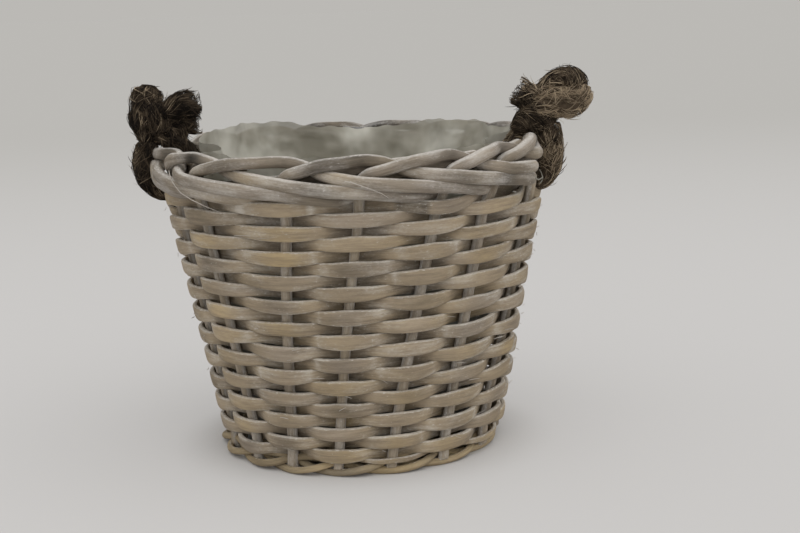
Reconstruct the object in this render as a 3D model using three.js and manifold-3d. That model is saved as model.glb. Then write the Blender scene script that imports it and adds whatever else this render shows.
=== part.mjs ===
// A round reed basket that tapers to its foot: stakes, one continuous climb of weavers, a rolled border,
// a twisted foot, a woven base, a pleated film liner and two knotted rope handles.
// Millimetres, +Z up. The origin is on the basket's axis, on the surface that it stands on. -Y is the front.
import * as THREE from "three";
import { mergeVertices } from "three/addons/utils/BufferGeometryUtils.js";
import Module from "manifold-3d";

const wasm = await Module();
wasm.setup();

// Driving dimensions of the whole basket
const RIM_HEIGHT = 190; // top of the border
const FOOT_CIRCLE = 79; // radius of the circle that the stakes stand on, at the floor
const RIM_CIRCLE = 113.4; // radius of the circle of their kinks, under the border
const STAKE_COUNT = 15; // odd, so that the weavers can climb without a break
const CLEARANCE = 0.35; // left between rods that touch

// Stakes
const STAKE_DIAMETER = 6.6;
const STAKE_TIP_HEIGHT = 1; // the cut lower ends stay this far above the floor
// How far each stake leans away from even spacing, in degrees, at the foot and at the border.
// The list starts at the back left and runs round by the front.
const FOOT_DRIFT = [-6, -5, -4, -3, -2.6, -1.9, -6.8, -10.7, -13.1, -13.5, -11.9, -9, -7, -6, -5];
const RIM_DRIFT = [2, 0, 2, 0.5, 3, -3.3, 6, 3.4, 2.6, -4.8, 3, 1, -1, 2, 1];

// Weavers
const WEAVER_COUNT = 19;
const WEAVER_SPAN = 16; // stakes that one rod passes, even so that every joint lies inside
const WEAVER_THICKNESS = 4.8;
const WEAVER_BELLY = 8.2; // height where it passes a stake
const WEAVER_ROW_GAP = 0.5; // left between rows where they cross
const WEAVER_JOINT_GAP = 0.5; // between the end of one rod and the start of the next

// Foot, a three-rod wale
const FOOT_ROD = 3.6;
const FOOT_STRANDS = 3;

// Base
const BASE_STICK = 4.9; // width and height of a base stick
const BASE_STICKS_EACH_WAY = 3;
const BASE_WEAVER_WIDTH = 4.6;
const BASE_WEAVER_HEIGHT = 3.2;
const BASE_ROW_PITCH = 5.5;
const BASE_FIRST_ROW = 20; // radius of the innermost row

// Liner
const LINER_WALL = 0.7;
const LINER_CRUMPLE = 6; // how far its creases stand in from the wall
const LINER_CREASES = 70; // hollows between the creases, each about 40 across
// Height of its loose edge above the rim, every 15 degrees from the front round by the right.
const LINER_EDGE = [
  -3, -4, -2, -1, -3, -5, -6, -1, 1, 2.5, 1.5, -2.5, -3.5, -1, 3.5, 4.5, 3.5, 1, -5, -5, -1, -3, -4, -2,
];

// Rope handles
const ROPE_DIAMETER = 12.4;

// Derived sizes of the frame
const stakeRadius = STAKE_DIAMETER / 2;
const strand = STAKE_DIAMETER + CLEARANCE; // spacing of neighbouring rods in the border
const stepAngle = 360 / STAKE_COUNT;
const BORDER_CREST = 1.12; // highest run of a border rod over its kink, in strands
const kinkHeight = RIM_HEIGHT - stakeRadius - BORDER_CREST * strand;
const slope = (RIM_CIRCLE - FOOT_CIRCLE) / kinkHeight;
const leanFactor = Math.hypot(1, slope); // a leaning stake is this much wider in a level cut

const radians = THREE.MathUtils.degToRad;
const lerp = THREE.MathUtils.lerp;
const upward = new THREE.Vector3(0, 0, 1);

// Radius of the stakes' circle at a height.
function circleAt(z) {
  return FOOT_CIRCLE + slope * z;
}

// Angle of a stake at a height, from the front towards the right; index 0 is the stake at the front.
function stakeAngle(index, z) {
  const half = Math.floor(STAKE_COUNT / 2);
  const place = (((index + half) % STAKE_COUNT) + STAKE_COUNT) % STAKE_COUNT;
  const foot = FOOT_DRIFT[place % FOOT_DRIFT.length];
  const rim = RIM_DRIFT[place % RIM_DRIFT.length];
  return index * stepAngle + lerp(foot, rim, z / kinkHeight);
}

// Angle of any place between stakes: 2.5 lies half way between stakes 2 and 3.
function angleAt(place, z) {
  const index = Math.floor(place);
  return lerp(stakeAngle(index, z), stakeAngle(index + 1, z), place - index);
}

// The level direction away from the axis at an angle.
function outward(degrees) {
  return new THREE.Vector3(Math.sin(radians(degrees)), -Math.cos(radians(degrees)), 0);
}

// The level direction along the wall, to the right, at an angle.
function alongWall(degrees) {
  return new THREE.Vector3(Math.cos(radians(degrees)), Math.sin(radians(degrees)), 0);
}

// A point given by its angle, its radius and its height.
function polar(degrees, radius, z) {
  return outward(degrees).multiplyScalar(radius).setZ(z);
}

// The direction square to the leaning wall, away from the axis.
function wallNormal(degrees) {
  return outward(degrees).setZ(-slope).divideScalar(leanFactor);
}

// A point beside the stakes' wall: at an angle and a height on the wall, and then out from it.
function wallPoint(degrees, z, out) {
  return polar(degrees, circleAt(z), z).addScaledVector(wallNormal(degrees), out);
}

// A closed rod through a list of rings. Each ring has a centre, a guide that its thickness follows,
// its half thickness along the guide and half width across it, and, where its cut isn't square to
// the rod, the direction that it faces.
function rod(rings, sides) {
  const corner = sides === 4 ? Math.SQRT2 : 1;
  const start = sides === 4 ? Math.PI / 4 : 0;
  const vertices = [];
  rings.forEach((ring, i) => {
    const before = rings[Math.max(i - 1, 0)].centre;
    const after = rings[Math.min(i + 1, rings.length - 1)].centre;
    const tangent = ring.facing ?? after.clone().sub(before).normalize();
    const thick = ring.guide.clone().addScaledVector(tangent, -ring.guide.dot(tangent)).normalize();
    const wide = tangent.clone().cross(thick);
    for (let side = 0; side < sides; side++) {
      const turn = start + (side / sides) * 2 * Math.PI;
      vertices.push(
        ring.centre
          .clone()
          .addScaledVector(thick, corner * ring.thick * Math.cos(turn))
          .addScaledVector(wide, corner * ring.wide * Math.sin(turn)),
      );
    }
  });
  const faces = [];
  for (let i = 0; i + 1 < rings.length; i++)
    for (let side = 0; side < sides; side++) {
      const a = i * sides + side;
      const b = i * sides + ((side + 1) % sides);
      faces.push(a, b, b + sides, a, b + sides, a + sides);
    }
  const last = (rings.length - 1) * sides;
  for (let side = 1; side + 1 < sides; side++) {
    faces.push(0, side + 1, side);
    faces.push(last, last + side, last + side + 1);
  }
  return closedSurface(vertices, faces);
}

// A geometry from shared vertices, with no normals or texture coordinates.
function closedSurface(vertices, faces) {
  const geometry = new THREE.BufferGeometry();
  const numbers = vertices.flatMap((v) => [v.x, v.y, v.z]);
  geometry.setAttribute("position", new THREE.Float32BufferAttribute(numbers, 3));
  geometry.setIndex(faces);
  return geometry;
}

// Joins closed geometries that overlap into one body.
function joined(geometries) {
  const solids = geometries.map((geometry) => {
    const bare = geometry.clone();
    bare.deleteAttribute("normal");
    bare.deleteAttribute("uv");
    const merged = mergeVertices(bare, 1e-4);
    return new wasm.Manifold(
      new wasm.Mesh({
        numProp: 3,
        vertProperties: new Float32Array(merged.attributes.position.array),
        triVerts: new Uint32Array(merged.index.array),
      }),
    );
  });
  const mesh = solids.reduce((whole, piece) => whole.add(piece)).getMesh();
  const geometry = new THREE.BufferGeometry();
  geometry.setAttribute("position", new THREE.BufferAttribute(mesh.vertProperties, 3));
  geometry.setIndex(new THREE.BufferAttribute(mesh.triVerts, 1));
  return geometry;
}

const basket = new THREE.Group();

// Names a geometry, dresses it and adds it to the basket.
function add(name, geometry, material) {
  geometry.computeVertexNormals();
  const mesh = new THREE.Mesh(geometry, material);
  mesh.name = name;
  basket.add(mesh);
}

const two = (number) => String(number).padStart(2, "0");

// Finishes
const stakeWood = new THREE.MeshStandardMaterial({ color: 0x9c8b74, roughness: 0.8, metalness: 0 });
const weaverWood = new THREE.MeshStandardMaterial({ color: 0xa99b82, roughness: 0.8, metalness: 0 });
const footWood = new THREE.MeshStandardMaterial({ color: 0x9a8460, roughness: 0.8, metalness: 0 });
const baseWood = new THREE.MeshStandardMaterial({ color: 0x8f7f66, roughness: 0.85, metalness: 0 });
const film = new THREE.MeshStandardMaterial({ color: 0xc4c6bf, roughness: 0.35, metalness: 0 });
const jute = new THREE.MeshStandardMaterial({ color: 0x3b2c22, roughness: 1, metalness: 0 });

// Rope handles: each passes round the border half way between two stakes, below the border and over it.
const LEFT_GAP = -4; // the gap to the right of stake -4
const RIGHT_GAP = 3;
const ropeRadius = ROPE_DIAMETER / 2;
const ropeGaps = [LEFT_GAP, RIGHT_GAP];

// The ring of rope turns about a line along the wall, through the middle of the rods that it holds.
const PIVOT_OUT = 0.05; // from the kinks' circle and height, in strands
const PIVOT_UP = 0.17;
const HELD_REACH = 1.19; // from the pivot to the middle of the furthest rod that it holds, in strands
const ringRadius = HELD_REACH * strand + stakeRadius + CLEARANCE + ropeRadius;
const RING_FLAT = 3; // how much closer the ring lies on the outer face
const pivotRadius = RIM_CIRCLE + PIVOT_OUT * strand;
const pivotHeight = kinkHeight + PIVOT_UP * strand;

const BORDER_TUCK = 1.08; // how far inside the stakes a border rod ends, in strands
// Border path of one stake. Each row: place in stakes past its own, then how far out of the stakes'
// wall and how far above the kink it runs, both in strands.
const BORDER_PATH = [
  [0, 0, -0.8],
  [0.02, 0, -0.25],
  [0.07, 0.07, 0.08],
  [0.14, 0.2, 0.3],
  [0.25, 0.38, 0.55],
  [0.5, 0.45, 1.05],
  [0.75, 0.05, BORDER_CREST],
  [1, -0.55, 1.05],
  [1.25, -0.72, 0.93],
  [1.5, -0.5, 0.25],
  [1.75, 0.55, -0.6],
  [2, 1.03, -1.02],
  [2.25, 1.03, -1.27],
  [2.5, 1.03, -1.57],
  [2.75, 1.03, -1.86],
  [3, 1.03, -2.13],
  [3.25, 0.82, -2.38],
  [3.5, 0.06, -2.26],
  [3.75, -0.7, -2.02],
  [4.12, -BORDER_TUCK, -1.85],
];
const FACE_FULLNESS = 1.1; // the rods are this much taller on the outer face than they are thick
const SHORT_END = 3.2; // where the rod that a rope would cross is cut off
const LIFTED_PLACE = 2.5; // the rod above it is pushed up and in by the rope
const LIFT_UP = 0.9; // in strands
const LIFT_IN = 0.43;
const LIFT_REACH = 0.45; // in stakes to each side

// How strongly a rope pushes a border rod at a place, from 0 to 1.
function lifted(index, place) {
  const near = ropeGaps.some((gap) => positive(gap - index) === Math.floor(LIFTED_PLACE));
  const away = Math.abs(place - LIFTED_PLACE) / LIFT_REACH;
  return near && away < 1 ? Math.cos((away * Math.PI) / 2) ** 2 : 0;
}

// A difference of stake numbers, counted to the right round the basket.
function positive(steps) {
  return ((steps % STAKE_COUNT) + STAKE_COUNT) % STAKE_COUNT;
}

const BEND_END = 0.2; // past this place a border rod runs along the wall
const STRAIGHT_BELOW_KINK = 2.4; // a stake is straight up to here, in strands
const UPRIGHT_STEPS = 3;

function stakeRings(index) {
  const rings = [];
  const addRing = (angle, z, out, facing) =>
    rings.push({
      centre: wallPoint(angle, z, out),
      guide: wallNormal(angle),
      thick: stakeRadius,
      wide: stakeRadius * (facing && out > strand / 3 ? FACE_FULLNESS : 1),
      facing,
    });
  const straightEnd = kinkHeight - STRAIGHT_BELOW_KINK * strand;
  for (let step = 0; step <= UPRIGHT_STEPS; step++) {
    const z = lerp(STAKE_TIP_HEIGHT, straightEnd, step / UPRIGHT_STEPS);
    addRing(stakeAngle(index, z), z, 0);
  }
  const cutShort = ropeGaps.some((gap) => positive(gap - index) === Math.floor(SHORT_END));
  const path = cutShort ? BORDER_PATH.filter(([place]) => place < SHORT_END) : BORDER_PATH;
  for (const [place, out, up] of path) {
    const push = lifted(index, place);
    const z = kinkHeight + ((up + LIFT_UP * push) * strand) / leanFactor;
    const angle = angleAt(index + place, z);
    addRing(angle, z, (out - LIFT_IN * push) * strand, place > BEND_END ? alongWall(angle) : undefined);
  }
  return rings;
}

for (let number = 1; number <= STAKE_COUNT; number++)
  add("stake_" + two(number), rod(stakeRings(number - 1 - Math.floor(STAKE_COUNT / 2)), 6), stakeWood);

// Foot: three thin rods, each in front of two stakes and behind one, crossing over each other.
const footRadius = FOOT_ROD / 2;
const FOOT_STEP = (FOOT_ROD + CLEARANCE) / 2; // half the spacing of the two rods that pass in front
const FOOT_CROSS = FOOT_STEP * 1.25;
const footOut = stakeRadius + CLEARANCE + footRadius;
const footHeight = FOOT_CROSS + footRadius * Math.sin(Math.PI / 3); // six-sided, flat below
const footTop = 2 * footHeight;
// Over three stakes: in front and high, in front, in front and low, below, behind, above.
const FOOT_PATH = [
  [footOut, FOOT_STEP],
  [footOut, 0],
  [footOut, -FOOT_STEP],
  [0, -FOOT_CROSS],
  [-footOut, 0],
  [0, FOOT_CROSS],
];
const FOOT_JOINT = 0.02; // part of a stake's spacing left open where a rod's two ends meet

function footRings(number) {
  const rings = [];
  for (let half = 0; half <= 2 * STAKE_COUNT; half++) {
    const [out, up] = FOOT_PATH[half % FOOT_PATH.length];
    const z = footHeight + up;
    const inset = half === 0 ? FOOT_JOINT : half === 2 * STAKE_COUNT ? -FOOT_JOINT : 0;
    const angle = angleAt(number + half / 2 + inset, z);
    const centre = polar(angle, circleAt(z) + out, z);
    const facing = alongWall(angle);
    rings.push({ centre, guide: outward(angle), thick: footRadius, wide: footRadius, facing });
  }
  return rings;
}

for (let number = 0; number < FOOT_STRANDS; number++)
  add("foot_rod_" + (number + 1), rod(footRings(number), 6), footWood);

// Weavers: in front of one stake and behind the next, climbing one row in each round.
const weaverOut = stakeRadius + CLEARANCE + WEAVER_THICKNESS / 2;
const firstRow = footTop + CLEARANCE + WEAVER_BELLY / 2;
const BORDER_DEPTH = 2.12; // from the kink to the lowest border rod where it passes a stake, in strands
const lastRow = kinkHeight - (BORDER_DEPTH + 0.5) * strand - (CLEARANCE + WEAVER_BELLY) / 2;
const rounds = (WEAVER_COUNT * WEAVER_SPAN) / STAKE_COUNT;
const rowPitch = (lastRow - firstRow) / rounds;
const ROPE_DIP = 3.4; // how far the top row is pushed down under a rope
const DIP_ROWS = 6; // rows that share it
const DIP_WIDTH = 7; // degrees

// How strongly a rope presses on the weave at an angle, from 0 to 1.
function ropePress(degrees) {
  return ropeGaps.reduce((sum, gap) => {
    const away = degrees - angleAt(gap + 0.5, kinkHeight);
    const turned = away - 360 * Math.round(away / 360);
    return sum + Math.exp(-((turned / DIP_WIDTH) ** 2));
  }, 0);
}

function weaverRing(place) {
  const level = firstRow + (rowPitch * (place - 1)) / STAKE_COUNT;
  const angle = angleAt(place, level);
  const belowTop = (lastRow - level) / (DIP_ROWS * rowPitch);
  const press = ropePress(angle);
  const z = level - ROPE_DIP * press * Math.max(0, 1 - belowTop);
  const squeeze = belowTop < 1 ? (press * ROPE_DIP) / DIP_ROWS : 0;
  const swing = Math.cos(Math.PI * place);
  const waist = rowPitch - WEAVER_ROW_GAP - squeeze;
  const height = Math.abs(swing) > 0.9 ? WEAVER_BELLY : waist;
  return {
    centre: wallPoint(angle, z, weaverOut * swing),
    guide: wallNormal(angle),
    thick: WEAVER_THICKNESS / 2,
    wide: height / 2,
    facing: alongWall(angle),
  };
}

const WEAVER_STEPS = 3; // rings for each stake that it passes

function weaverRings(number) {
  const start = 1 + number * WEAVER_SPAN;
  const end = WEAVER_JOINT_GAP / 2 / ((2 * Math.PI * circleAt(kinkHeight / 2)) / STAKE_COUNT);
  const rings = [weaverRing(start + end)];
  for (let step = 1; step < WEAVER_SPAN * WEAVER_STEPS; step++)
    rings.push(weaverRing(start + step / WEAVER_STEPS));
  rings.push(weaverRing(start + WEAVER_SPAN - end));
  return rings;
}

for (let number = 0; number < WEAVER_COUNT; number++)
  add("weaver_" + two(number + 1), rod(weaverRings(number), 4), weaverWood);

// Base: sticks laid across each other and opened out into spokes, with two rods woven round them.
const stickHalf = BASE_STICK / 2;
const baseWeaverRise = stickHalf + CLEARANCE + BASE_WEAVER_HEIGHT / 2;
const spokeHeight = CLEARANCE + BASE_WEAVER_HEIGHT / 2 + baseWeaverRise;
const STICK_BEND_MARGIN = 2; // the sticks stay level this far past their crossing
const crossingReach = (BASE_STICKS_EACH_WAY / 2) * (BASE_STICK + CLEARANCE) + STICK_BEND_MARGIN;
const spokeEnd = circleAt(footHeight) - footOut - footRadius - CLEARANCE;
const spokeCount = 4 * BASE_STICKS_EACH_WAY;
const spokeStep = 360 / spokeCount;

function stickRings(index, upper) {
  const offset = (index - (BASE_STICKS_EACH_WAY - 1) / 2) * (BASE_STICK + CLEARANCE);
  const centreHeight = upper ? BASE_STICK * 1.5 + CLEARANCE : stickHalf;
  const fan = (index - (BASE_STICKS_EACH_WAY - 1) / 2) * spokeStep;
  const plan = [];
  const spread = BASE_FIRST_ROW - BASE_WEAVER_WIDTH;
  for (const side of [-1, 1]) {
    const arm = [
      [side * crossingReach, offset, centreHeight],
      [side * spread * Math.cos(radians(fan)), spread * Math.sin(radians(fan)), spokeHeight],
      [side * spokeEnd * Math.cos(radians(fan)), spokeEnd * Math.sin(radians(fan)), spokeHeight],
    ];
    if (side < 0) plan.push(...arm.reverse());
    else plan.push(...arm);
  }
  const lengthwise = upper ? new THREE.Vector3(0, 1, 0) : new THREE.Vector3(1, 0, 0);
  return plan.map(([along, across, z]) => ({
    centre: upper ? new THREE.Vector3(-across, along, z) : new THREE.Vector3(along, across, z),
    guide: upward,
    thick: stickHalf,
    wide: stickHalf,
    facing: Math.abs(along) === crossingReach ? lengthwise : undefined,
  }));
}

for (let index = 0; index < BASE_STICKS_EACH_WAY; index++) {
  add("base_stick_lower_" + (index + 1), rod(stickRings(index, false), 4), baseWood);
  add("base_stick_upper_" + (index + 1), rod(stickRings(index, true), 4), baseWood);
}

const baseRounds = (spokeEnd - BASE_WEAVER_WIDTH / 2 - BASE_FIRST_ROW - BASE_ROW_PITCH) / (2 * BASE_ROW_PITCH);

function baseWeaverRings(chaser) {
  const rings = [];
  const passes = Math.floor(baseRounds * spokeCount);
  const flat = stickHalf + CLEARANCE; // it stays level over the whole width of a stick
  for (let pass = 0; pass <= passes; pass++) {
    const radius = BASE_FIRST_ROW + chaser * BASE_ROW_PITCH + (2 * BASE_ROW_PITCH * pass) / spokeCount;
    const over = (pass + chaser) % 2 === 0 ? 1 : -1;
    for (const side of [-1, 1]) {
      const angle = pass * spokeStep + side * THREE.MathUtils.radToDeg(flat / radius);
      rings.push({
        centre: polar(angle, radius, spokeHeight + over * baseWeaverRise),
        guide: upward,
        thick: BASE_WEAVER_HEIGHT / 2,
        wide: BASE_WEAVER_WIDTH / 2,
        facing: alongWall(angle),
      });
    }
  }
  return rings;
}

for (const chaser of [0, 1])
  add("base_weaver_" + (chaser + 1), rod(baseWeaverRings(chaser), 4), baseWood);

// Liner: a pleated cup of film that stands on the base, clear of the wall, pushed in by the ropes.
const baseTop = spokeHeight + baseWeaverRise + BASE_WEAVER_HEIGHT / 2;
const linerFloor = baseTop + CLEARANCE;
const wallDepth = Math.max(BORDER_TUCK * strand + stakeRadius, weaverOut + WEAVER_THICKNESS / 2);
const linerInset = wallDepth + CLEARANCE;
const ropeInnerReach = pivotRadius - ringRadius - ropeRadius - 2 * CLEARANCE;
const LINER_COLUMNS = 64;
const LINER_LEVELS = [0, 0.12, 0.24, 0.36, 0.48, 0.59, 0.69, 0.79, 0.89, 1];
const CREASE_WIDTH = 0.42; // of a crease's slope, as a share of a radius
const ROPE_FOLD_FLAT = 8; // degrees to each side that the film stays clear of a rope
const ROPE_FOLD_WIDTH = 11; // degrees over which it comes back to the wall

// How far the film is folded in by the ropes at an angle, from 0 to 1.
function ropeFold(degrees) {
  return Math.max(
    ...ropeGaps.map((gap) => {
      const away = degrees - angleAt(gap + 0.5, kinkHeight);
      const turned = Math.abs(away - 360 * Math.round(away / 360));
      return 1 - THREE.MathUtils.smoothstep(turned, ROPE_FOLD_FLAT, ROPE_FOLD_FLAT + ROPE_FOLD_WIDTH);
    }),
  );
}

// A repeatable scatter: the part of a large sine after its point.
function scatter(number, step, size) {
  const value = Math.sin(number * step) * size;
  return value - Math.floor(value);
}

// The middles of the hollows, as an angle in radians and a share of the height.
const hollows = Array.from({ length: LINER_CREASES }, (_, i) => ({
  turn: scatter(i + 1, 12.9898, 43758.5453) * 2 * Math.PI,
  level: scatter(i + 1, 78.233, 24634.6345) * 1.2 - 0.1,
}));

// How close a place on the film is to a crease between two hollows, from 0 to 1.
function creaseAt(turn, level) {
  const away = hollows.map((hollow) => {
    const round = turn - hollow.turn;
    const across = round - 2 * Math.PI * Math.round(round / (2 * Math.PI));
    return Math.hypot(across, (level - hollow.level) * 1.9);
  });
  away.sort((a, b) => a - b);
  return 1 - THREE.MathUtils.smoothstep(away[1] - away[0], 0, CREASE_WIDTH);
}

// Height of the loose edge above the rim at an angle.
function linerEdge(degrees) {
  const place = (degrees / 360) * LINER_EDGE.length;
  const index = Math.floor(place) % LINER_EDGE.length;
  return lerp(LINER_EDGE[index], LINER_EDGE[(index + 1) % LINER_EDGE.length], place - Math.floor(place));
}

const CREASE_AT_FLOOR = 0.15; // share of a crease's depth at the bottom

function linerPoint(column, level, inner) {
  const degrees = (column / LINER_COLUMNS) * 360;
  const z = lerp(linerFloor, RIM_HEIGHT + linerEdge(degrees), level);
  const crease = creaseAt(radians(degrees), level) * lerp(CREASE_AT_FLOOR, 1, Math.min(1, 2 * level));
  const wall = circleAt(z) - linerInset - LINER_CRUMPLE * crease;
  const folded = ropeFold(degrees) * THREE.MathUtils.smoothstep(level, 0.68, 0.78);
  const radius = Math.min(wall, lerp(wall, ropeInnerReach, folded));
  return polar(degrees, radius - (inner ? LINER_WALL : 0), z + (inner && level === 0 ? LINER_WALL : 0));
}

function linerCup() {
  const vertices = [];
  const faces = [];
  const levels = LINER_LEVELS.length;
  for (const inner of [false, true])
    for (const level of LINER_LEVELS)
      for (let column = 0; column < LINER_COLUMNS; column++)
        vertices.push(linerPoint(column, level, inner));
  const vertexAt = (inner, level, column) =>
    ((inner ? levels : 0) + level) * LINER_COLUMNS + (column % LINER_COLUMNS);
  const outerMiddle = vertices.push(new THREE.Vector3(0, 0, linerFloor)) - 1;
  const innerMiddle = vertices.push(new THREE.Vector3(0, 0, linerFloor + LINER_WALL)) - 1;
  const quad = (a, b, c, d) => faces.push(a, b, c, a, c, d);
  for (let column = 0; column < LINER_COLUMNS; column++) {
    const next = column + 1;
    for (let level = 0; level + 1 < levels; level++) {
      quad(
        vertexAt(false, level, column),
        vertexAt(false, level, next),
        vertexAt(false, level + 1, next),
        vertexAt(false, level + 1, column),
      );
      quad(
        vertexAt(true, level, next),
        vertexAt(true, level, column),
        vertexAt(true, level + 1, column),
        vertexAt(true, level + 1, next),
      );
    }
    const top = levels - 1;
    quad(
      vertexAt(false, top, column),
      vertexAt(false, top, next),
      vertexAt(true, top, next),
      vertexAt(true, top, column),
    );
    faces.push(outerMiddle, vertexAt(false, 0, next), vertexAt(false, 0, column));
    faces.push(innerMiddle, vertexAt(true, 0, column), vertexAt(true, 0, next));
  }
  return closedSurface(vertices, faces);
}

add("film_liner", linerCup(), film);

// Rope: points are out from the pivot, along the wall and up from the pivot, with the radius there,
// all in radii of the rope.
const ROPE_SIDES = 8;

function ropeStretch(gap, points) {
  const degrees = angleAt(gap + 0.5, kinkHeight);
  const pivot = polar(degrees, pivotRadius, pivotHeight);
  const curve = new THREE.CatmullRomCurve3(
    points.map(([out, along, up]) => new THREE.Vector3(out, along, up)),
  );
  const steps = Math.round(1.5 * (points.length - 1));
  const rings = [];
  for (let step = 0; step <= steps; step++) {
    const t = step / steps;
    const at = curve.getPoint(t);
    const knot = Math.min(Math.floor(t * (points.length - 1)), points.length - 2);
    const thickness = lerp(points[knot][3], points[knot + 1][3], t * (points.length - 1) - knot);
    const radius = thickness * ropeRadius;
    const centre = pivot
      .clone()
      .addScaledVector(outward(degrees), at.x * ropeRadius)
      .addScaledVector(alongWall(degrees), at.y * ropeRadius)
      .addScaledVector(upward, at.z * ropeRadius);
    rings.push({ centre, guide: alongWall(degrees), thick: radius, wide: radius });
  }
  return rod(rings, ROPE_SIDES);
}

// The ring round the border, as two overlapping arcs that the knot closes above.
function ropeRing(gap) {
  const arcs = [
    [-110, 95],
    [85, 260],
  ];
  return arcs.map(([from, to]) => {
    const count = 6;
    const points = [];
    for (let step = 0; step <= count; step++) {
      const turn = radians(lerp(from, to, step / count));
      const flattened = ringRadius - RING_FLAT * Math.max(0, Math.cos(turn)) ** 12;
      const reach = flattened / ropeRadius;
      points.push([reach * Math.cos(turn), 0, reach * Math.sin(turn), 1]);
    }
    return ropeStretch(gap, points);
  });
}

// Left: a short bight stands up outside, the frayed end points in and back.
const leftKnot = [
  [[-1.8, 0.5, 2.8, 0.9], [-0.7, 0.3, 3.1, 1.4], [0.5, 0, 3.3, 1.5], [1.6, -0.2, 3.2, 1.4], [2.5, -0.3, 2.7, 0.9]],
  [
    [2.3, 0.2, 2.1, 1.05],
    [2.6, 0.5, 3.7, 1.1],
    [2.5, 0.6, 5.3, 1.2],
    [1.95, 0.1, 6.5, 1.2],
    [1.35, -0.5, 5.9, 1.2],
    [1, -0.7, 4.6, 1.15],
    [0.5, -0.5, 3.4, 1.1],
  ],
  [[0.4, -0.7, 3.9, 1.1], [-0.7, -1, 4.5, 1.35], [-1.8, -1.2, 4.85, 1.65], [-3.2, -1.3, 4.9, 1.75]],
];
// Right: the bight leans outwards and the frayed end stands up inside.
const rightKnot = [
  [[-2.1, -0.4, 2.5, 0.9], [-1.1, -0.3, 2.9, 1.3], [0, 0, 3.1, 1.4], [1.1, 0.2, 2.9, 1.35], [2, 0.3, 2.4, 1]],
  [
    [0.3, -0.5, 3.5, 1.05],
    [1.3, -0.8, 5.3, 1.1],
    [2.5, -0.7, 6.5, 1.15],
    [3.7, -0.2, 6.5, 1.15],
    [4.3, 0.3, 5.5, 1.15],
    [3.8, 0.6, 4.5, 1.15],
    [2.6, 0.6, 4.2, 1.15],
    [1.2, 0.5, 3.8, 1.1],
    [0.2, 0.3, 3.4, 1.05],
  ],
  [[0.2, 0.3, 3.5, 1.1], [-0.4, 0.5, 4.5, 1.2], [-1, 0.6, 5.4, 1.3], [-1.3, 0.6, 6, 1.3]],
];

for (const [name, gap, knot] of [
  ["rope_handle_left", LEFT_GAP, leftKnot],
  ["rope_handle_right", RIGHT_GAP, rightKnot],
])
  add(name, joined([...ropeRing(gap), ...knot.map((points) => ropeStretch(gap, points))]), jute);

export default basket;
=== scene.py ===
"""A round reed basket with a rolled border, a film liner and two knotted rope handles."""
import logging
import math
from dataclasses import dataclass
from enum import Enum
from typing import Any

import bpy
import numpy as np
from mathutils import Matrix, Vector


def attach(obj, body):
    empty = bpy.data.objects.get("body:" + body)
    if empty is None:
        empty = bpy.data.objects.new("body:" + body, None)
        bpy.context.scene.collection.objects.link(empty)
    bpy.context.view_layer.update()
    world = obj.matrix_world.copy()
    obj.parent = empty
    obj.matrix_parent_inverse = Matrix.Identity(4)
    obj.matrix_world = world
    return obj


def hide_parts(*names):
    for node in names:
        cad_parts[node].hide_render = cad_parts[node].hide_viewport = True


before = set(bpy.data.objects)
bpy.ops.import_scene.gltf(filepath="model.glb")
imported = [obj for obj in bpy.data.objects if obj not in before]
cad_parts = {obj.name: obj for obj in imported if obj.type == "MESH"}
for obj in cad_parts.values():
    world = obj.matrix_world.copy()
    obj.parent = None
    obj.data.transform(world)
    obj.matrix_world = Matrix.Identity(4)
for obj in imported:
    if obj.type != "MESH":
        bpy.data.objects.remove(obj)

Array = np.ndarray
Colour = tuple[int, int, int]
Socket = bpy.types.NodeSocket
RopePoint = tuple[float, float, float, float]
WallPoint = tuple[float, float, float]
log = logging.getLogger("basket")
MM = 0.001
UP = (0.0, 0.0, 1.0)


def linear(colour: Colour) -> tuple[float, float, float, float]:
    """Turns a colour of 0 to 255 as seen on a screen into the shader's linear one.

    Args:
        colour: The colour on a screen.

    Returns:
        The linear colour with an alpha of 1.
    """
    shares = [channel / 255 for channel in colour]
    made = [s / 12.92 if s <= 0.04045 else ((s + 0.055) / 1.055) ** 2.4 for s in shares]
    return (made[0], made[1], made[2], 1.0)


def ease(value: Array, start: float, span: float) -> Array:
    """Rises smoothly from 0 to 1 over a span that begins at the start."""
    share = np.clip((value - start) / span, 0, 1)
    return share * share * (3 - 2 * share)


def unit(vectors: Array) -> Array:
    """Scales each row to length one."""
    return vectors / np.maximum(np.linalg.norm(vectors, axis=-1, keepdims=True), 1e-12)


def travelled(points: Array) -> Array:
    """Gives how far along a line each of its points lies."""
    return np.concatenate([[0], np.cumsum(np.linalg.norm(np.diff(points, axis=0), axis=1))])


def smooth_through(points: Array, steps: int) -> Array:
    """Finds points on a smooth curve that passes through given ones.

    Args:
        points: One row for each given point, with any number of columns.
        steps: How many steps the curve takes between two given points.

    Returns:
        The curve's points, from the first given one to the last.
    """
    padded = np.vstack([2 * points[0] - points[1], points, 2 * points[-1] - points[-2]])
    share = np.linspace(0, 1, steps, endpoint=False)[:, None]
    stretches = []
    for i in range(len(points) - 1):
        a, b, c, d = padded[i : i + 4]
        bend = -a + 3 * b - 3 * c + d
        lift = 2 * a - 5 * b + 4 * c - d
        stretches.append(0.5 * (2 * b + (c - a) * share + lift * share**2 + bend * share**3))
    stretches.append(points[-1:])
    return np.vstack(stretches)


def wander(rng: np.random.Generator, at: Array, spacing: float, reach: float) -> Array:
    """Makes a smooth random line.

    Args:
        rng: The seeded source of chance.
        at: Where along the line its values are wanted.
        spacing: How far apart its random knots lie.
        reach: The usual size of its swings.

    Returns:
        One value for each place.
    """
    start = at.min()
    knots = rng.normal(0, reach, int((at.max() - start) / spacing) + 3)
    where = (at - start) / spacing
    index = np.floor(where).astype(int)
    share = ease(where - index, 0, 1)
    return knots[index] * (1 - share) + knots[index + 1] * share


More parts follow.
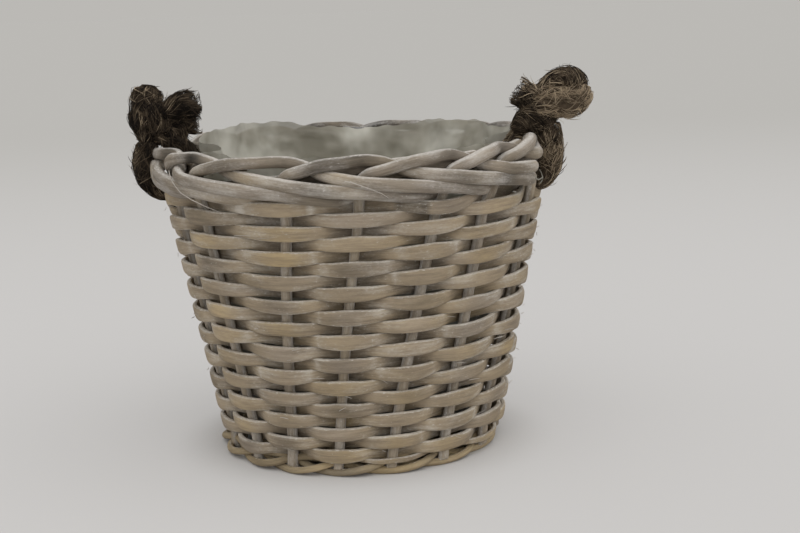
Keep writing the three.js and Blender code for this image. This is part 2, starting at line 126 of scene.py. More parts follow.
class Slot(Enum):
    """The record's material slots."""

    STAKE = "stake"
    WEAVER = "weaver"
    FOOT = "foot"
    BASE = "base"
    LINER = "liner"
    ROPE = "rope"


class Body(Enum):
    """The bodies that the pieces move with."""

    BASKET = "basket"
    LEFT = "left_handle"
    RIGHT = "right_handle"


class Graph:
    """A node tree that is filled one node at a time."""

    def __init__(self, tree: bpy.types.NodeTree) -> None:
        """Keeps the tree that the nodes go into."""
        self.tree = tree

    def feed(self, node: bpy.types.Node, values: dict[Any, Any]) -> None:
        """Fills a node's inputs.

        Args:
            node: The node.
            values: For each input, by name or number, a constant or the socket that feeds it.
        """
        for name, value in values.items():
            if isinstance(value, Socket):
                self.tree.links.new(value, node.inputs[name])
            else:
                node.inputs[name].default_value = value

    def node(self, kind: str, values: dict[Any, Any] | None = None, **settings: Any) -> bpy.types.Node:
        """Adds a node and fills its inputs.

        Args:
            kind: The node's type.
            values: For each input, by name or number, a constant or the socket that feeds it.
            settings: The node's own properties.

        Returns:
            The new node.
        """
        made = self.tree.nodes.new(kind)
        for name, value in settings.items():
            setattr(made, name, value)
        self.feed(made, values or {})
        return made

    def group(self, tree: bpy.types.NodeTree, values: dict[str, Any]) -> Any:
        """Places a shared effect, fills its inputs and returns its outputs."""
        return self.node("ShaderNodeGroup", values, node_tree=tree).outputs

    def math(self, operation: str, first: Any, second: Any = 0.0, clamp: bool = False) -> Socket:
        """Adds a sum of one or two values and returns its result."""
        made = self.node("ShaderNodeMath", {0: first, 1: second}, operation=operation, use_clamp=clamp)
        return made.outputs[0]

    def total(self, *terms: tuple[Any, float]) -> Socket:
        """Adds up several values, each times its own weight.

        Args:
            terms: The values, each with its weight.

        Returns:
            Their sum.
        """
        made = None
        for value, weight in terms:
            share = self.math("MULTIPLY", value, weight)
            made = share if made is None else self.math("ADD", made, share)
        return made

    def remap(
        self, value: Any, low: float, high: float, to_low: float = 0.0, to_high: float = 1.0
    ) -> Socket:
        """Adds a smooth step from one range to another.

        Args:
            value: What is remapped.
            low: The value where the step starts.
            high: The value where it ends.
            to_low: The result up to its start.
            to_high: The result from its end on.

        Returns:
            The result.
        """
        made = self.node(
            "ShaderNodeMapRange",
            {"Value": value, "From Min": low, "From Max": high, "To Min": to_low, "To Max": to_high},
            interpolation_type="SMOOTHSTEP",
        )
        return made.outputs["Result"]

    def blend(self, share: Any, first: Any, second: Any, how: str = "MIX") -> Socket:
        """Adds a mix of two colours and returns its result."""
        made = self.node("ShaderNodeMix", {0: share, 6: first, 7: second}, data_type="RGBA", blend_type=how)
        return made.outputs[2]

    def dim(self, colour: Any, factor: Any) -> Socket:
        """Adds a change of a colour's lightness and returns its result."""
        grey = self.node("ShaderNodeCombineColor", {0: factor, 1: factor, 2: factor})
        return self.blend(1.0, colour, grey.outputs["Color"], "MULTIPLY")

    def noise(self, vector: Any, scale: Any, detail: float = 3.0, roughness: float = 0.55) -> Socket:
        """Adds a noise texture.

        Args:
            vector: Where on the surface it is read.
            scale: One number, or one for each direction.
            detail: How many finer layers it has.
            roughness: How strong the finer layers are.

        Returns:
            Its value.
        """
        if isinstance(scale, tuple):
            stretched = self.node("ShaderNodeVectorMath", {0: vector, 1: scale}, operation="MULTIPLY")
            vector = stretched.outputs[0]
            scale = 1.0
        values = {"Vector": vector, "Scale": scale, "Detail": detail, "Roughness": roughness}
        return self.node("ShaderNodeTexNoise", values).outputs["Fac"]

    def attribute(self, name: str, output: str = "Fac") -> Socket:
        """Adds a reader of one of the mesh's attributes and returns its value."""
        return self.node("ShaderNodeAttribute", attribute_name=name).outputs[output]

    def bump(self, height: Any, strength: float, distance: float) -> Socket:
        """Adds a bump of a height and returns its normal."""
        values = {"Height": height, "Strength": strength, "Distance": distance}
        return self.node("ShaderNodeBump", values).outputs["Normal"]

    def seen(self) -> Socket:
        """Tells the rays that show a surface, directly or in gloss and glass, from those that light.

        Returns:
            1 for the rays that show it, 0 for the others.
        """
        path = self.node("ShaderNodeLightPath").outputs
        seen = self.math("ADD", path["Is Camera Ray"], path["Is Glossy Ray"], clamp=True)
        return self.math("ADD", seen, path["Is Transmission Ray"], clamp=True)


def new_material(name: str) -> tuple[bpy.types.Material, Graph, bpy.types.Node]:
    """Makes a material and returns it with its graph and its surface shader.

    Args:
        name: The material's name.

    Returns:
        The three.
    """
    material = bpy.data.materials.new(name)
    material.use_nodes = True
    return material, Graph(material.node_tree), material.node_tree.nodes["Principled BSDF"]


@dataclass(frozen=True)
class GroupSocket:
    """One input or output of a shader group."""

    name: str
    kind: str = "NodeSocketFloat"
    value: float = 0.0


class ShaderGroups:
    """The effects that several materials share, each a node group that is built once."""

    place = GroupSocket("Vector", "NodeSocketVector")
    colour = GroupSocket("Color", "NodeSocketColor")

    def __init__(self) -> None:
        """Builds the groups."""
        self.grain = self._grain()
        self.wash = self._wash()
        self.tone = self._tone()
        self.folds = self._folds()

    @staticmethod
    def _start(name: str, inputs: list[GroupSocket], outputs: list[GroupSocket]) -> tuple[Graph, Any, Any]:
        """Makes an empty group with its sockets.

        Args:
            name: The group's name.
            inputs: What it takes.
            outputs: What it gives.

        Returns:
            Its graph, the sockets that bring its inputs, and its output node.
        """
        tree = bpy.data.node_groups.new(name, "ShaderNodeTree")
        for socket in inputs:
            made = tree.interface.new_socket(socket.name, in_out="INPUT", socket_type=socket.kind)
            if socket.kind == "NodeSocketFloat":
                made.default_value = socket.value
        for socket in outputs:
            tree.interface.new_socket(socket.name, in_out="OUTPUT", socket_type=socket.kind)
        graph = Graph(tree)
        return graph, graph.node("NodeGroupInput").outputs, graph.node("NodeGroupOutput")

    def _grain(self) -> bpy.types.NodeTree:
        """Builds the lengthwise grain of peeled reed.

        Returns:
            A group with streaks of colour and the height of the fine ribs.
        """
        outputs = [GroupSocket("Streaks"), GroupSocket("Ribs")]
        graph, given, out = self._start("Reed grain", [self.place], outputs)
        broad = graph.noise(given["Vector"], (0.55, 0.55, 0.035), 4.0, 0.6)
        fine = graph.noise(given["Vector"], (2.6, 2.6, 0.09), 4.0, 0.65)
        graph.feed(out, {"Streaks": graph.total((broad, 0.55), (fine, 0.45)), "Ribs": fine})
        return graph.tree

    def _wash(self) -> bpy.types.NodeTree:
        """Builds the worn white wash, which stays along edges and in patches.

        Returns:
            A group with the mask of the paint and that of its flecks.
        """
        names = ("Streaks", "Edge", "Bare")
        inputs = [self.place, *(GroupSocket(name) for name in names), GroupSocket("Amount", value=0.5)]
        graph, given, out = self._start("Worn wash", inputs, [GroupSocket("Paint"), GroupSocket("Flecks")])
        blotch = graph.noise(given["Vector"], (0.16, 0.16, 0.045))
        speckle = graph.noise(given["Vector"], (1.1, 1.1, 0.5), 5.0, 0.7)
        edge = graph.remap(given["Edge"], 0.8, 1.0)
        streaks = given["Streaks"]
        bare = given["Bare"]
        load = graph.total((blotch, 0.9), (speckle, 0.5), (streaks, 0.5), (edge, 0.3), (bare, -0.35))
        load = graph.math("ADD", load, given["Amount"])
        flecks = graph.total((speckle, 1.0), (edge, 0.12), (bare, -0.06), (blotch, 0.12))
        graph.feed(out, {"Paint": graph.remap(load, 1.18, 1.75), "Flecks": graph.remap(flecks, 0.68, 0.76)})
        return graph.tree

    def _tone(self) -> bpy.types.NodeTree:
        """Builds the slow change of lightness along a reed.

        Returns:
            A group that takes a colour and gives it lighter or darker.
        """
        inputs = [self.place, self.colour, GroupSocket("Shade"), GroupSocket("Depth", value=0.3)]
        graph, given, out = self._start("Slow tone", inputs, [self.colour])
        cloud = graph.noise(given["Vector"], (0.25, 0.25, 0.06), 4.0, 0.6)
        swing = graph.math("ADD", graph.math("SUBTRACT", cloud, 0.5), given["Shade"])
        factor = graph.math("ADD", 1.0, graph.math("MULTIPLY", swing, given["Depth"]))
        graph.feed(out, {"Color": graph.dim(given["Color"], factor)})
        return graph.tree

    def _folds(self) -> bpy.types.NodeTree:
        """Builds the fine creases of thin film.

        Returns:
            A group with the creases' height and a cloudy mask.
        """
        graph, given, out = self._start(
            "Film folds", [self.place], [GroupSocket("Height"), GroupSocket("Cloud")]
        )
        cells = graph.node(
            "ShaderNodeTexVoronoi",
            {"Vector": given["Vector"], "Scale": 55.0, "Randomness": 1.0},
            feature="DISTANCE_TO_EDGE",
        )
        soft = graph.noise(given["Vector"], 90.0, 4.0, 0.6)
        crease = graph.remap(cells.outputs["Distance"], 0.0, 0.25)
        cloud = graph.noise(given["Vector"], 28.0)
        graph.feed(out, {"Height": graph.total((crease, 0.4), (soft, 0.6)), "Cloud": cloud})
        return graph.tree


@dataclass(frozen=True)
class ReedFinish:
    """Peeled reed, weathered grey-brown, with what is left of a thin white wash."""

    name: str
    grey: Colour
    ochre: Colour
    dark: Colour
    paint: Colour
    wash: float
    roughness: float = 0.78
    streak_roughness: float = 0.1
    relief: float = 0.00045
    relief_strength: float = 0.7
    mottle_depth: float = 0.22
    tone_depth: float = 0.66
    paint_cover: float = 0.62
    fleck_cover: float = 0.7
    paint_height: float = 0.25

    def build(self, groups: ShaderGroups) -> bpy.types.Material:
        """Builds the material.

        Args:
            groups: The shared effects.

        Returns:
            The material, which reads the reed's own attributes.
        """
        material, graph, shader = new_material(self.name)
        vector = graph.attribute("grain", "Vector")
        grain = graph.group(groups.grain, {"Vector": vector})
        streaks = grain["Streaks"]
        edge = graph.attribute("edge")
        bare = graph.attribute("bare")
        wash = graph.group(
            groups.wash,
            {"Vector": vector, "Streaks": streaks, "Edge": edge, "Bare": bare, "Amount": self.wash},
        )
        wood = graph.blend(graph.attribute("tint"), linear(self.grey), linear(self.ochre))
        wood = graph.blend(graph.remap(streaks, 0.3, 0.6, 0.3, 1.0), linear(self.dark), wood)
        mottle = graph.noise(vector, (0.9, 0.9, 0.4), 5.0, 0.65)
        mottle = graph.remap(mottle, 0.28, 0.72, 0.0, self.mottle_depth)
        wood = graph.blend(mottle, wood, linear(self.dark))
        shade = graph.attribute("shade")
        tone = graph.group(
            groups.tone, {"Vector": vector, "Color": wood, "Shade": shade, "Depth": self.tone_depth}
        )
        colour = tone["Color"]
        for mask, cover in (("Paint", self.paint_cover), ("Flecks", self.fleck_cover)):
            colour = graph.blend(graph.math("MULTIPLY", wash[mask], cover), colour, linear(self.paint))
        rough = graph.math("ADD", self.roughness, graph.math("MULTIPLY", streaks, self.streak_roughness))
        height = graph.math("ADD", grain["Ribs"], graph.math("MULTIPLY", wash["Paint"], self.paint_height))
        normal = graph.bump(height, self.relief_strength, self.relief)
        graph.feed(shader, {"Base Color": colour, "Roughness": rough, "Normal": normal})
        return material


@dataclass(frozen=True)
class FilmFinish:
    """Thin, cloudy, half transparent film, with painted shade that darkens it towards the bottom of its
    cup.
    """

    name: str
    pale: Colour
    dull: Colour
    roughness: float = 0.36
    # Painted shade low in the cup: full below the first height, gone above the second, down to the darkest
    # share.
    dark_height: float = 0.03
    pale_height: float = 0.165
    darkest_painted_shade: float = 0.3
    thinnest: float = 0.74
    cloud_cover: float = 0.2
    relief: float = 0.001
    relief_strength: float = 0.35

    def build(self, groups: ShaderGroups) -> bpy.types.Material:
        """Builds the material.

        Args:
            groups: The shared effects.

        Returns:
            The material, which reads the film's own places.
        """
        material, graph, shader = new_material(self.name)
        place = graph.attribute("grain", "Vector")
        folds = graph.group(groups.folds, {"Vector": place})
        cloud = graph.remap(folds["Cloud"], 0.3, 0.7)
        height = graph.node("ShaderNodeSeparateXYZ", {0: place}).outputs["Z"]
        # Painted shade, darker towards the bottom of the cup.
        low = graph.remap(height, self.dark_height, self.pale_height, self.darkest_painted_shade, 1.0)
        colour = graph.dim(graph.blend(cloud, linear(self.dull), linear(self.pale)), low)
        alpha = graph.math("ADD", self.thinnest, graph.math("MULTIPLY", cloud, self.cloud_cover))
        normal = graph.bump(folds["Height"], self.relief_strength, self.relief)
        values = {"Base Color": colour, "Alpha": alpha, "Roughness": self.roughness, "Normal": normal}
        graph.feed(shader, values)
        return material


@dataclass(frozen=True)
class RopeFinish:
    """Dark, hairy, twisted jute."""

    name: str
    dark: Colour
    middle: Colour
    light: Colour
    mottle_depth: float = 0.5
    roughness: float = 0.92
    specular: float = 0.25
    relief: float = 0.0008
    relief_strength: float = 0.8

    def build(self) -> bpy.types.Material:
        """Builds the material, which reads each fibre's own shade.

        Returns:
            The material.
        """
        material, graph, shader = new_material(self.name)
        shade = graph.attribute("shade")
        vector = graph.attribute("grain", "Vector")
        mottle = graph.math("SUBTRACT", graph.noise(vector, 0.35), 0.5)
        level = graph.math("ADD", shade, graph.math("MULTIPLY", mottle, self.mottle_depth))
        colour = graph.blend(graph.remap(level, 0.0, 0.5), linear(self.dark), linear(self.middle))
        colour = graph.blend(graph.remap(level, 0.5, 1.0), colour, linear(self.light))
        normal = graph.bump(graph.noise(vector, 1.6, 5.0, 0.7), self.relief_strength, self.relief)
        graph.feed(
            shader,
            {
                "Base Color": colour,
                "Roughness": self.roughness,
                "Specular IOR Level": self.specular,
                "Normal": normal,
            },
        )
        return material


REEDS = {
    Slot.STAKE: ReedFinish(
        "Washed reed", (151, 140, 126), (161, 145, 118), (118, 106, 91), (206, 201, 194), wash=0.42
    ),
    Slot.WEAVER: ReedFinish(
        "Weathered reed", (153, 140, 123), (172, 151, 113), (121, 107, 90), (204, 198, 188), wash=0.33
    ),
    Slot.FOOT: ReedFinish(
        "Brown reed", (150, 137, 115), (165, 145, 109), (112, 97, 75), (190, 182, 165), wash=0.14
    ),
    Slot.BASE: ReedFinish(
        "Plain reed", (146, 132, 110), (162, 142, 106), (110, 96, 76), (184, 176, 160), wash=0.15
    ),
}
FILM = FilmFinish("Cloudy film", (187, 184, 172), (146, 141, 125))
JUTE = RopeFinish("Dark jute", (22, 15, 9), (88, 75, 60), (190, 170, 142))


@dataclass(frozen=True)
class Wall:
    """The leaning ring of stakes that everything else is woven round. Angles are in degrees."""

    rim_height: float = 0.190
    foot_circle: float = 0.079
    rim_circle: float = 0.1134
    stake_count: int = 15
    stake_radius: float = 0.0033
    clearance: float = 0.00035
    crest: float = 1.12
    foot_drift: tuple[float, ...] = (
        -6, -5, -4, -3, -2.6, -1.9, -6.8, -10.7, -13.1, -13.5, -11.9, -9, -7, -6, -5,
    )
    rim_drift: tuple[float, ...] = (2, 0, 2, 0.5, 3, -3.3, 6, 3.4, 2.6, -4.8, 3, 1, -1, 2, 1)
    bend_drift: tuple[float, ...] = (0, 0, 0, 0, 0, -1.9, -1.5, -1, 1.5, 3.9, 0, 0, 0, 0, 0)
    bend_from: float = 0.150
    bend_over: float = 0.025
    rope_gaps: tuple[int, ...] = (-4, 3)
    dents: tuple[float, ...] = (-0.0018, 0.0104)
    dent_width: float = 17.0
    dent_from: float = 0.166
    dent_over: float = 0.010
    dent_inwards: float = 0.7
    raise_up: float = 0.0026
    raise_width: float = 38.0
    press_down: float = 0.0032
    press_width: float = 15.0
    press_from: float = 0.181
    press_over: float = 0.005

    @property
    def strand(self) -> float:
        """The spacing of neighbouring rods in the border."""
        return 2 * self.stake_radius + self.clearance

    @property
    def kink_height(self) -> float:
        """The height where the stakes bend over into the border."""
        return self.rim_height - self.stake_radius - self.crest * self.strand

    @property
    def slope(self) -> float:
        """How far the wall leans out for each unit of height."""
        return (self.rim_circle - self.foot_circle) / self.kink_height

    @property
    def lean(self) -> float:
        """How much longer a leaning stake is than its height."""
        return math.hypot(1, self.slope)

    def circle_at(self, z: Array) -> Array:
        """Gives the radius of the stakes' circle at a height."""
        return self.foot_circle + self.slope * z

    def stake_angle(self, index: Array, z: Array) -> Array:
        """Finds where a stake stands.

        Args:
            index: The stake's number, 0 for the one in the middle of the front.
            z: The height.

        Returns:
            Its angle, from the front towards the right.
        """
        place = (index + self.stake_count // 2) % self.stake_count
        drifts = (self.foot_drift, self.rim_drift, self.bend_drift)
        foot, rim, bend = (np.array(drift)[place] for drift in drifts)
        leant = foot + (rim - foot) * z / self.kink_height
        return index * 360 / self.stake_count + leant + bend * ease(z, self.bend_from, self.bend_over)

    def angle_at(self, place: Array, z: Array) -> Array:
        """Gives the angle of any place between stakes; 2.5 is half way between stakes 2 and 3.

        Args:
            place: The places, counted in stakes.
            z: Their heights.

        Returns:
            The angles in degrees.
        """
        index = np.floor(place).astype(int)
        share = place - index
        return self.stake_angle(index, z) * (1 - share) + self.stake_angle(index + 1, z) * share

    @staticmethod
    def outward(degrees: Array) -> Array:
        """Gives the level direction away from the axis at an angle."""
        turn = np.radians(degrees)
        return np.stack([np.sin(turn), -np.cos(turn), np.zeros_like(turn)], axis=-1)

    @staticmethod
    def along(degrees: Array) -> Array:
        """Gives the level direction along the wall, to the right, at an angle."""
        turn = np.radians(degrees)
        return np.stack([np.cos(turn), np.sin(turn), np.zeros_like(turn)], axis=-1)

    def normal(self, degrees: Array) -> Array:
        """Gives the direction square to the leaning wall, away from the axis.

        Args:
            degrees: The angles round the wall.

        Returns:
            The unit directions.
        """
        level = self.outward(degrees)
        level[..., 2] = -self.slope
        return level / self.lean

    def gap_angle(self, gap: int) -> float:
        """Gives the angle of a rope, half way between two stakes at the border."""
        return float(self.angle_at(np.array([gap + 0.5]), np.array([self.kink_height]))[0])

    def away_from(self, degrees: Array, gap: int) -> Array:
        """Gives how many degrees round the wall places are from a rope."""
        away = degrees - self.gap_angle(gap)
        return away - 360 * np.round(away / 360)

    def nearness(self, degrees: Array, gap: int, width: float) -> Array:
        """Gives 1 at a rope and less further round the wall."""
        return np.exp(-((self.away_from(degrees, gap) / width) ** 2))

    def point(self, degrees: Array, z: Array, out: Array) -> Array:
        """Finds a point beside the wall, which the ropes dent, raise and press down near them.

        Args:
            degrees: Its angle on the wall.
            z: Its height on the wall.
            out: How far it stands out of the wall, square to it.

        Returns:
            The point, in metres.
        """
        out = np.asarray(out)
        share = ease(z, self.dent_from, self.dent_over)
        near = [self.nearness(degrees, gap, self.dent_width) for gap in self.rope_gaps]
        dent = self.dents[0] * near[0] + self.dents[1] * near[1]
        out = out - dent * share * np.clip(out / self.strand + self.dent_inwards, 0, 1)
        right = self.rope_gaps[1]
        high = np.clip((z - self.press_from) / self.press_over, 0, 1)
        raised = self.raise_up * self.nearness(degrees, right, self.raise_width) * share
        pressed = self.press_down * self.nearness(degrees, right, self.press_width) * high
        base = self.outward(degrees) * self.circle_at(z)[..., None]
        base[..., 2] = z + raised - pressed
        return base + self.normal(degrees) * out[..., None]


def ring_faces(rings: int, sides: int) -> list[list[int]]:
    """Joins rings of points, one after the other, with four-sided faces.

    Args:
        rings: How many rings there are.
        sides: How many points each ring has.

    Returns:
        The faces.
    """
    ring = np.arange(rings - 1)[:, None] * sides
    side = np.arange(sides)[None, :]
    after = (side + 1) % sides
    quads = [ring + side, ring + after, ring + sides + after, ring + sides + side]
    return np.stack(quads, axis=-1).reshape(-1, 4).tolist()


def tube_faces(rings: int, sides: int) -> list[list[int]]:
    """Joins rings of points into a tube that is closed at both ends."""
    ends = [list(range(sides - 1, -1, -1)), list(range((rings - 1) * sides, rings * sides))]
    return ring_faces(rings, sides) + ends


def mesh_object(
    name: str,
    points: Array,
    faces: list[list[int]],
    grain: Array,
    values: dict[str, Array],
    material: bpy.types.Material,
) -> bpy.types.Object:
    """Makes a mesh object with its attributes, smooth and dressed.

    Args:
        name: The piece's name.
        points: Its vertices.
        faces: Its faces.
        grain: The grain's coordinates, one row for each vertex.
        values: One number for each vertex, by the attribute's name.
        material: The finish.

    Returns:
        The new object, linked to the scene.
    """
    mesh = bpy.data.meshes.new(name)
    mesh.from_pydata(points.tolist(), [], faces)
    attribute = mesh.attributes.new("grain", "FLOAT_VECTOR", "POINT")
    attribute.data.foreach_set("vector", grain.astype(np.float32).ravel())
    for key, numbers in values.items():
        attribute = mesh.attributes.new(key, "FLOAT", "POINT")
        attribute.data.foreach_set("value", np.asarray(numbers, np.float32))
    mesh.materials.append(material)
    mesh.polygons.foreach_set("use_smooth", np.ones(len(mesh.polygons), bool))
    mesh.update()
    made = bpy.data.objects.new(name, mesh)
    bpy.context.scene.collection.objects.link(made)
    return made


def place_piece(piece: bpy.types.Object, body: Body, slot: Slot, *nodes: str) -> None:
    """Lets a piece ride on its body and stand for CAD nodes, whose parts it hides.

    Args:
        piece: The piece.
        body: What it moves with.
        slot: Its slot; not used.
        nodes: The CAD nodes.
    """
    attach(piece, body.value)
    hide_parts(*nodes)
    log.info("%s rides on %s", piece.name, body.value)


@dataclass
class Reed:
    """One rod, given ring by ring. The half sizes are along the guide and across it."""

    centres: Array
    guides: Array
    thick: Array
    wide: Array
    tint: Array
    shade: Array
    bare: Array
    seed: int
    sides: int = 14
    squareness: float = 2.3
    slant: float = 0.0
    end_scales: tuple[float, ...] = (0.72, 0.93)
    end_rounding: float = 0.22
    end_step: float = 0.7
    grain_shift: float = 400.0

    def _rings(self, order: Array, scale: Array) -> tuple[Array, Array, Array, Array]:
        """Lays out the rod's rings, with two more at each rounded end.

        Args:
            order: Which centre each ring belongs to.
            scale: How large each ring is drawn.

        Returns:
            The rings' points, each point's two distances across, and the centres.
        """
        tangent = unit(np.gradient(self.centres, axis=0))
        thick_way = unit(self.guides - tangent * np.sum(self.guides * tangent, axis=1, keepdims=True))
        wide_way = np.cross(tangent, thick_way)
        x, y = self._outline()
        rounding = np.minimum(self.thick, self.wide) * self.end_rounding
        shift = np.zeros(len(order))
        shift[[0, 1]] = [-rounding[0], -rounding[0] * self.end_step]
        shift[[-2, -1]] = [rounding[-1] * self.end_step, rounding[-1]]
        centres = self.centres[order] + tangent[order] * shift[:, None]
        across_x = (self.thick[order] * scale)[:, None] * x[None, :]
        across_y = (self.wide[order] * scale)[:, None] * y[None, :]
        points = (
            centres[:, None, :]
            + thick_way[order][:, None, :] * across_x[..., None]
            + wide_way[order][:, None, :] * across_y[..., None]
        )
        points[:3] += tangent[order][:3, None, :] * (across_x[:3] * self.slant)[..., None]
        return points, across_x, across_y, centres

    def _outline(self) -> tuple[Array, Array]:
        """Gives the rod's section, between a circle and a square, at half size one.

        Returns:
            Its two coordinates, side by side.
        """
        turn = np.linspace(0, 2 * math.pi, self.sides, endpoint=False)
        ways = (np.cos(turn), np.sin(turn))
        x, y = (np.sign(way) * np.abs(way) ** (2 / self.squareness) for way in ways)
        return x, y

    def build(self, name: str, material: bpy.types.Material) -> bpy.types.Object:
        """Builds the rod's mesh and the attributes that its finish reads.

        Args:
            name: The piece's name.
            material: Its finish.

        Returns:
            The new object.
        """
        last = len(self.centres) - 1
        order = np.concatenate([[0, 0], np.arange(last + 1), [last, last]])
        scale = np.concatenate([self.end_scales, np.ones(last + 1), self.end_scales[::-1]])
        points, across_x, across_y, centres = self._rings(order, scale)
        run = np.broadcast_to(travelled(centres)[:, None], across_x.shape)
        grain = np.stack([across_x, across_y, run], axis=-1) / MM
        grain = grain + np.random.default_rng(self.seed).uniform(0, self.grain_shift, 3)
        x, y = self._outline()
        rings = len(order)
        looks = (self.tint, self.shade, self.bare)
        tint, shade, bare = (np.repeat(look[order], self.sides) for look in looks)
        values = {
            "tint": tint,
            "shade": shade,
            "bare": bare * np.tile(np.maximum(0, x), rings),
            "edge": np.tile(np.abs(y), rings),
        }
        faces = tube_faces(rings, self.sides)
        return mesh_object(name, points.reshape(-1, 3), faces, grain.reshape(-1, 3), values, material)


TUBE_TAPER = ((0, 0.2, 0.6, 0.85, 1), (0.7, 1, 1, 0.7, 0.25))
TUBE_SIDES = 3
TUBE_GUIDE = (0.2, 0.3, 0.93)
TUBE_SEED = 9


def thin_tubes(
    name: str,
    points: Array,
    shade: Array,
    sizes: tuple[float, float],
    finish: bpy.types.Material,
    paint: float = 0.0,
) -> bpy.types.Object:
    """Turns lines of points into thin three-sided tubes, all in one object.

    Args:
        name: The object's name.
        points: The lines, tubes by steps by three.
        shade: One shade for each tube.
        sizes: The least and the greatest radius.
        finish: The tubes' material.
        paint: How much more white wash they hold.

    Returns:
        The object.
    """
    count, steps, _ = points.shape
    sides = TUBE_SIDES
    taper = np.interp(np.linspace(0, 1, steps), *TUBE_TAPER)
    size = np.random.default_rng(TUBE_SEED).uniform(*sizes, count)[:, None] * taper[None, :]
    tangent = unit(np.gradient(points, axis=1))
    one = unit(np.cross(tangent, np.array(TUBE_GUIDE)))
    two = np.cross(tangent, one)
    turns = 2 * math.pi * np.arange(sides) / sides
    corners = [points + (one * math.cos(t) + two * math.sin(t)) * size[..., None] for t in turns]
    vertices = np.stack(corners, axis=2).reshape(-1, 3)
    first = (np.arange(count) * steps * sides)[:, None, None]
    faces = (first + np.array(ring_faces(steps, sides))[None, ...]).reshape(-1, 4).tolist()
    values = {
        "shade": np.repeat(shade, steps * sides),
        "bare": np.full(count * steps * sides, -paint),
    }
    return mesh_object(name, vertices, faces, vertices / MM, values, finish)


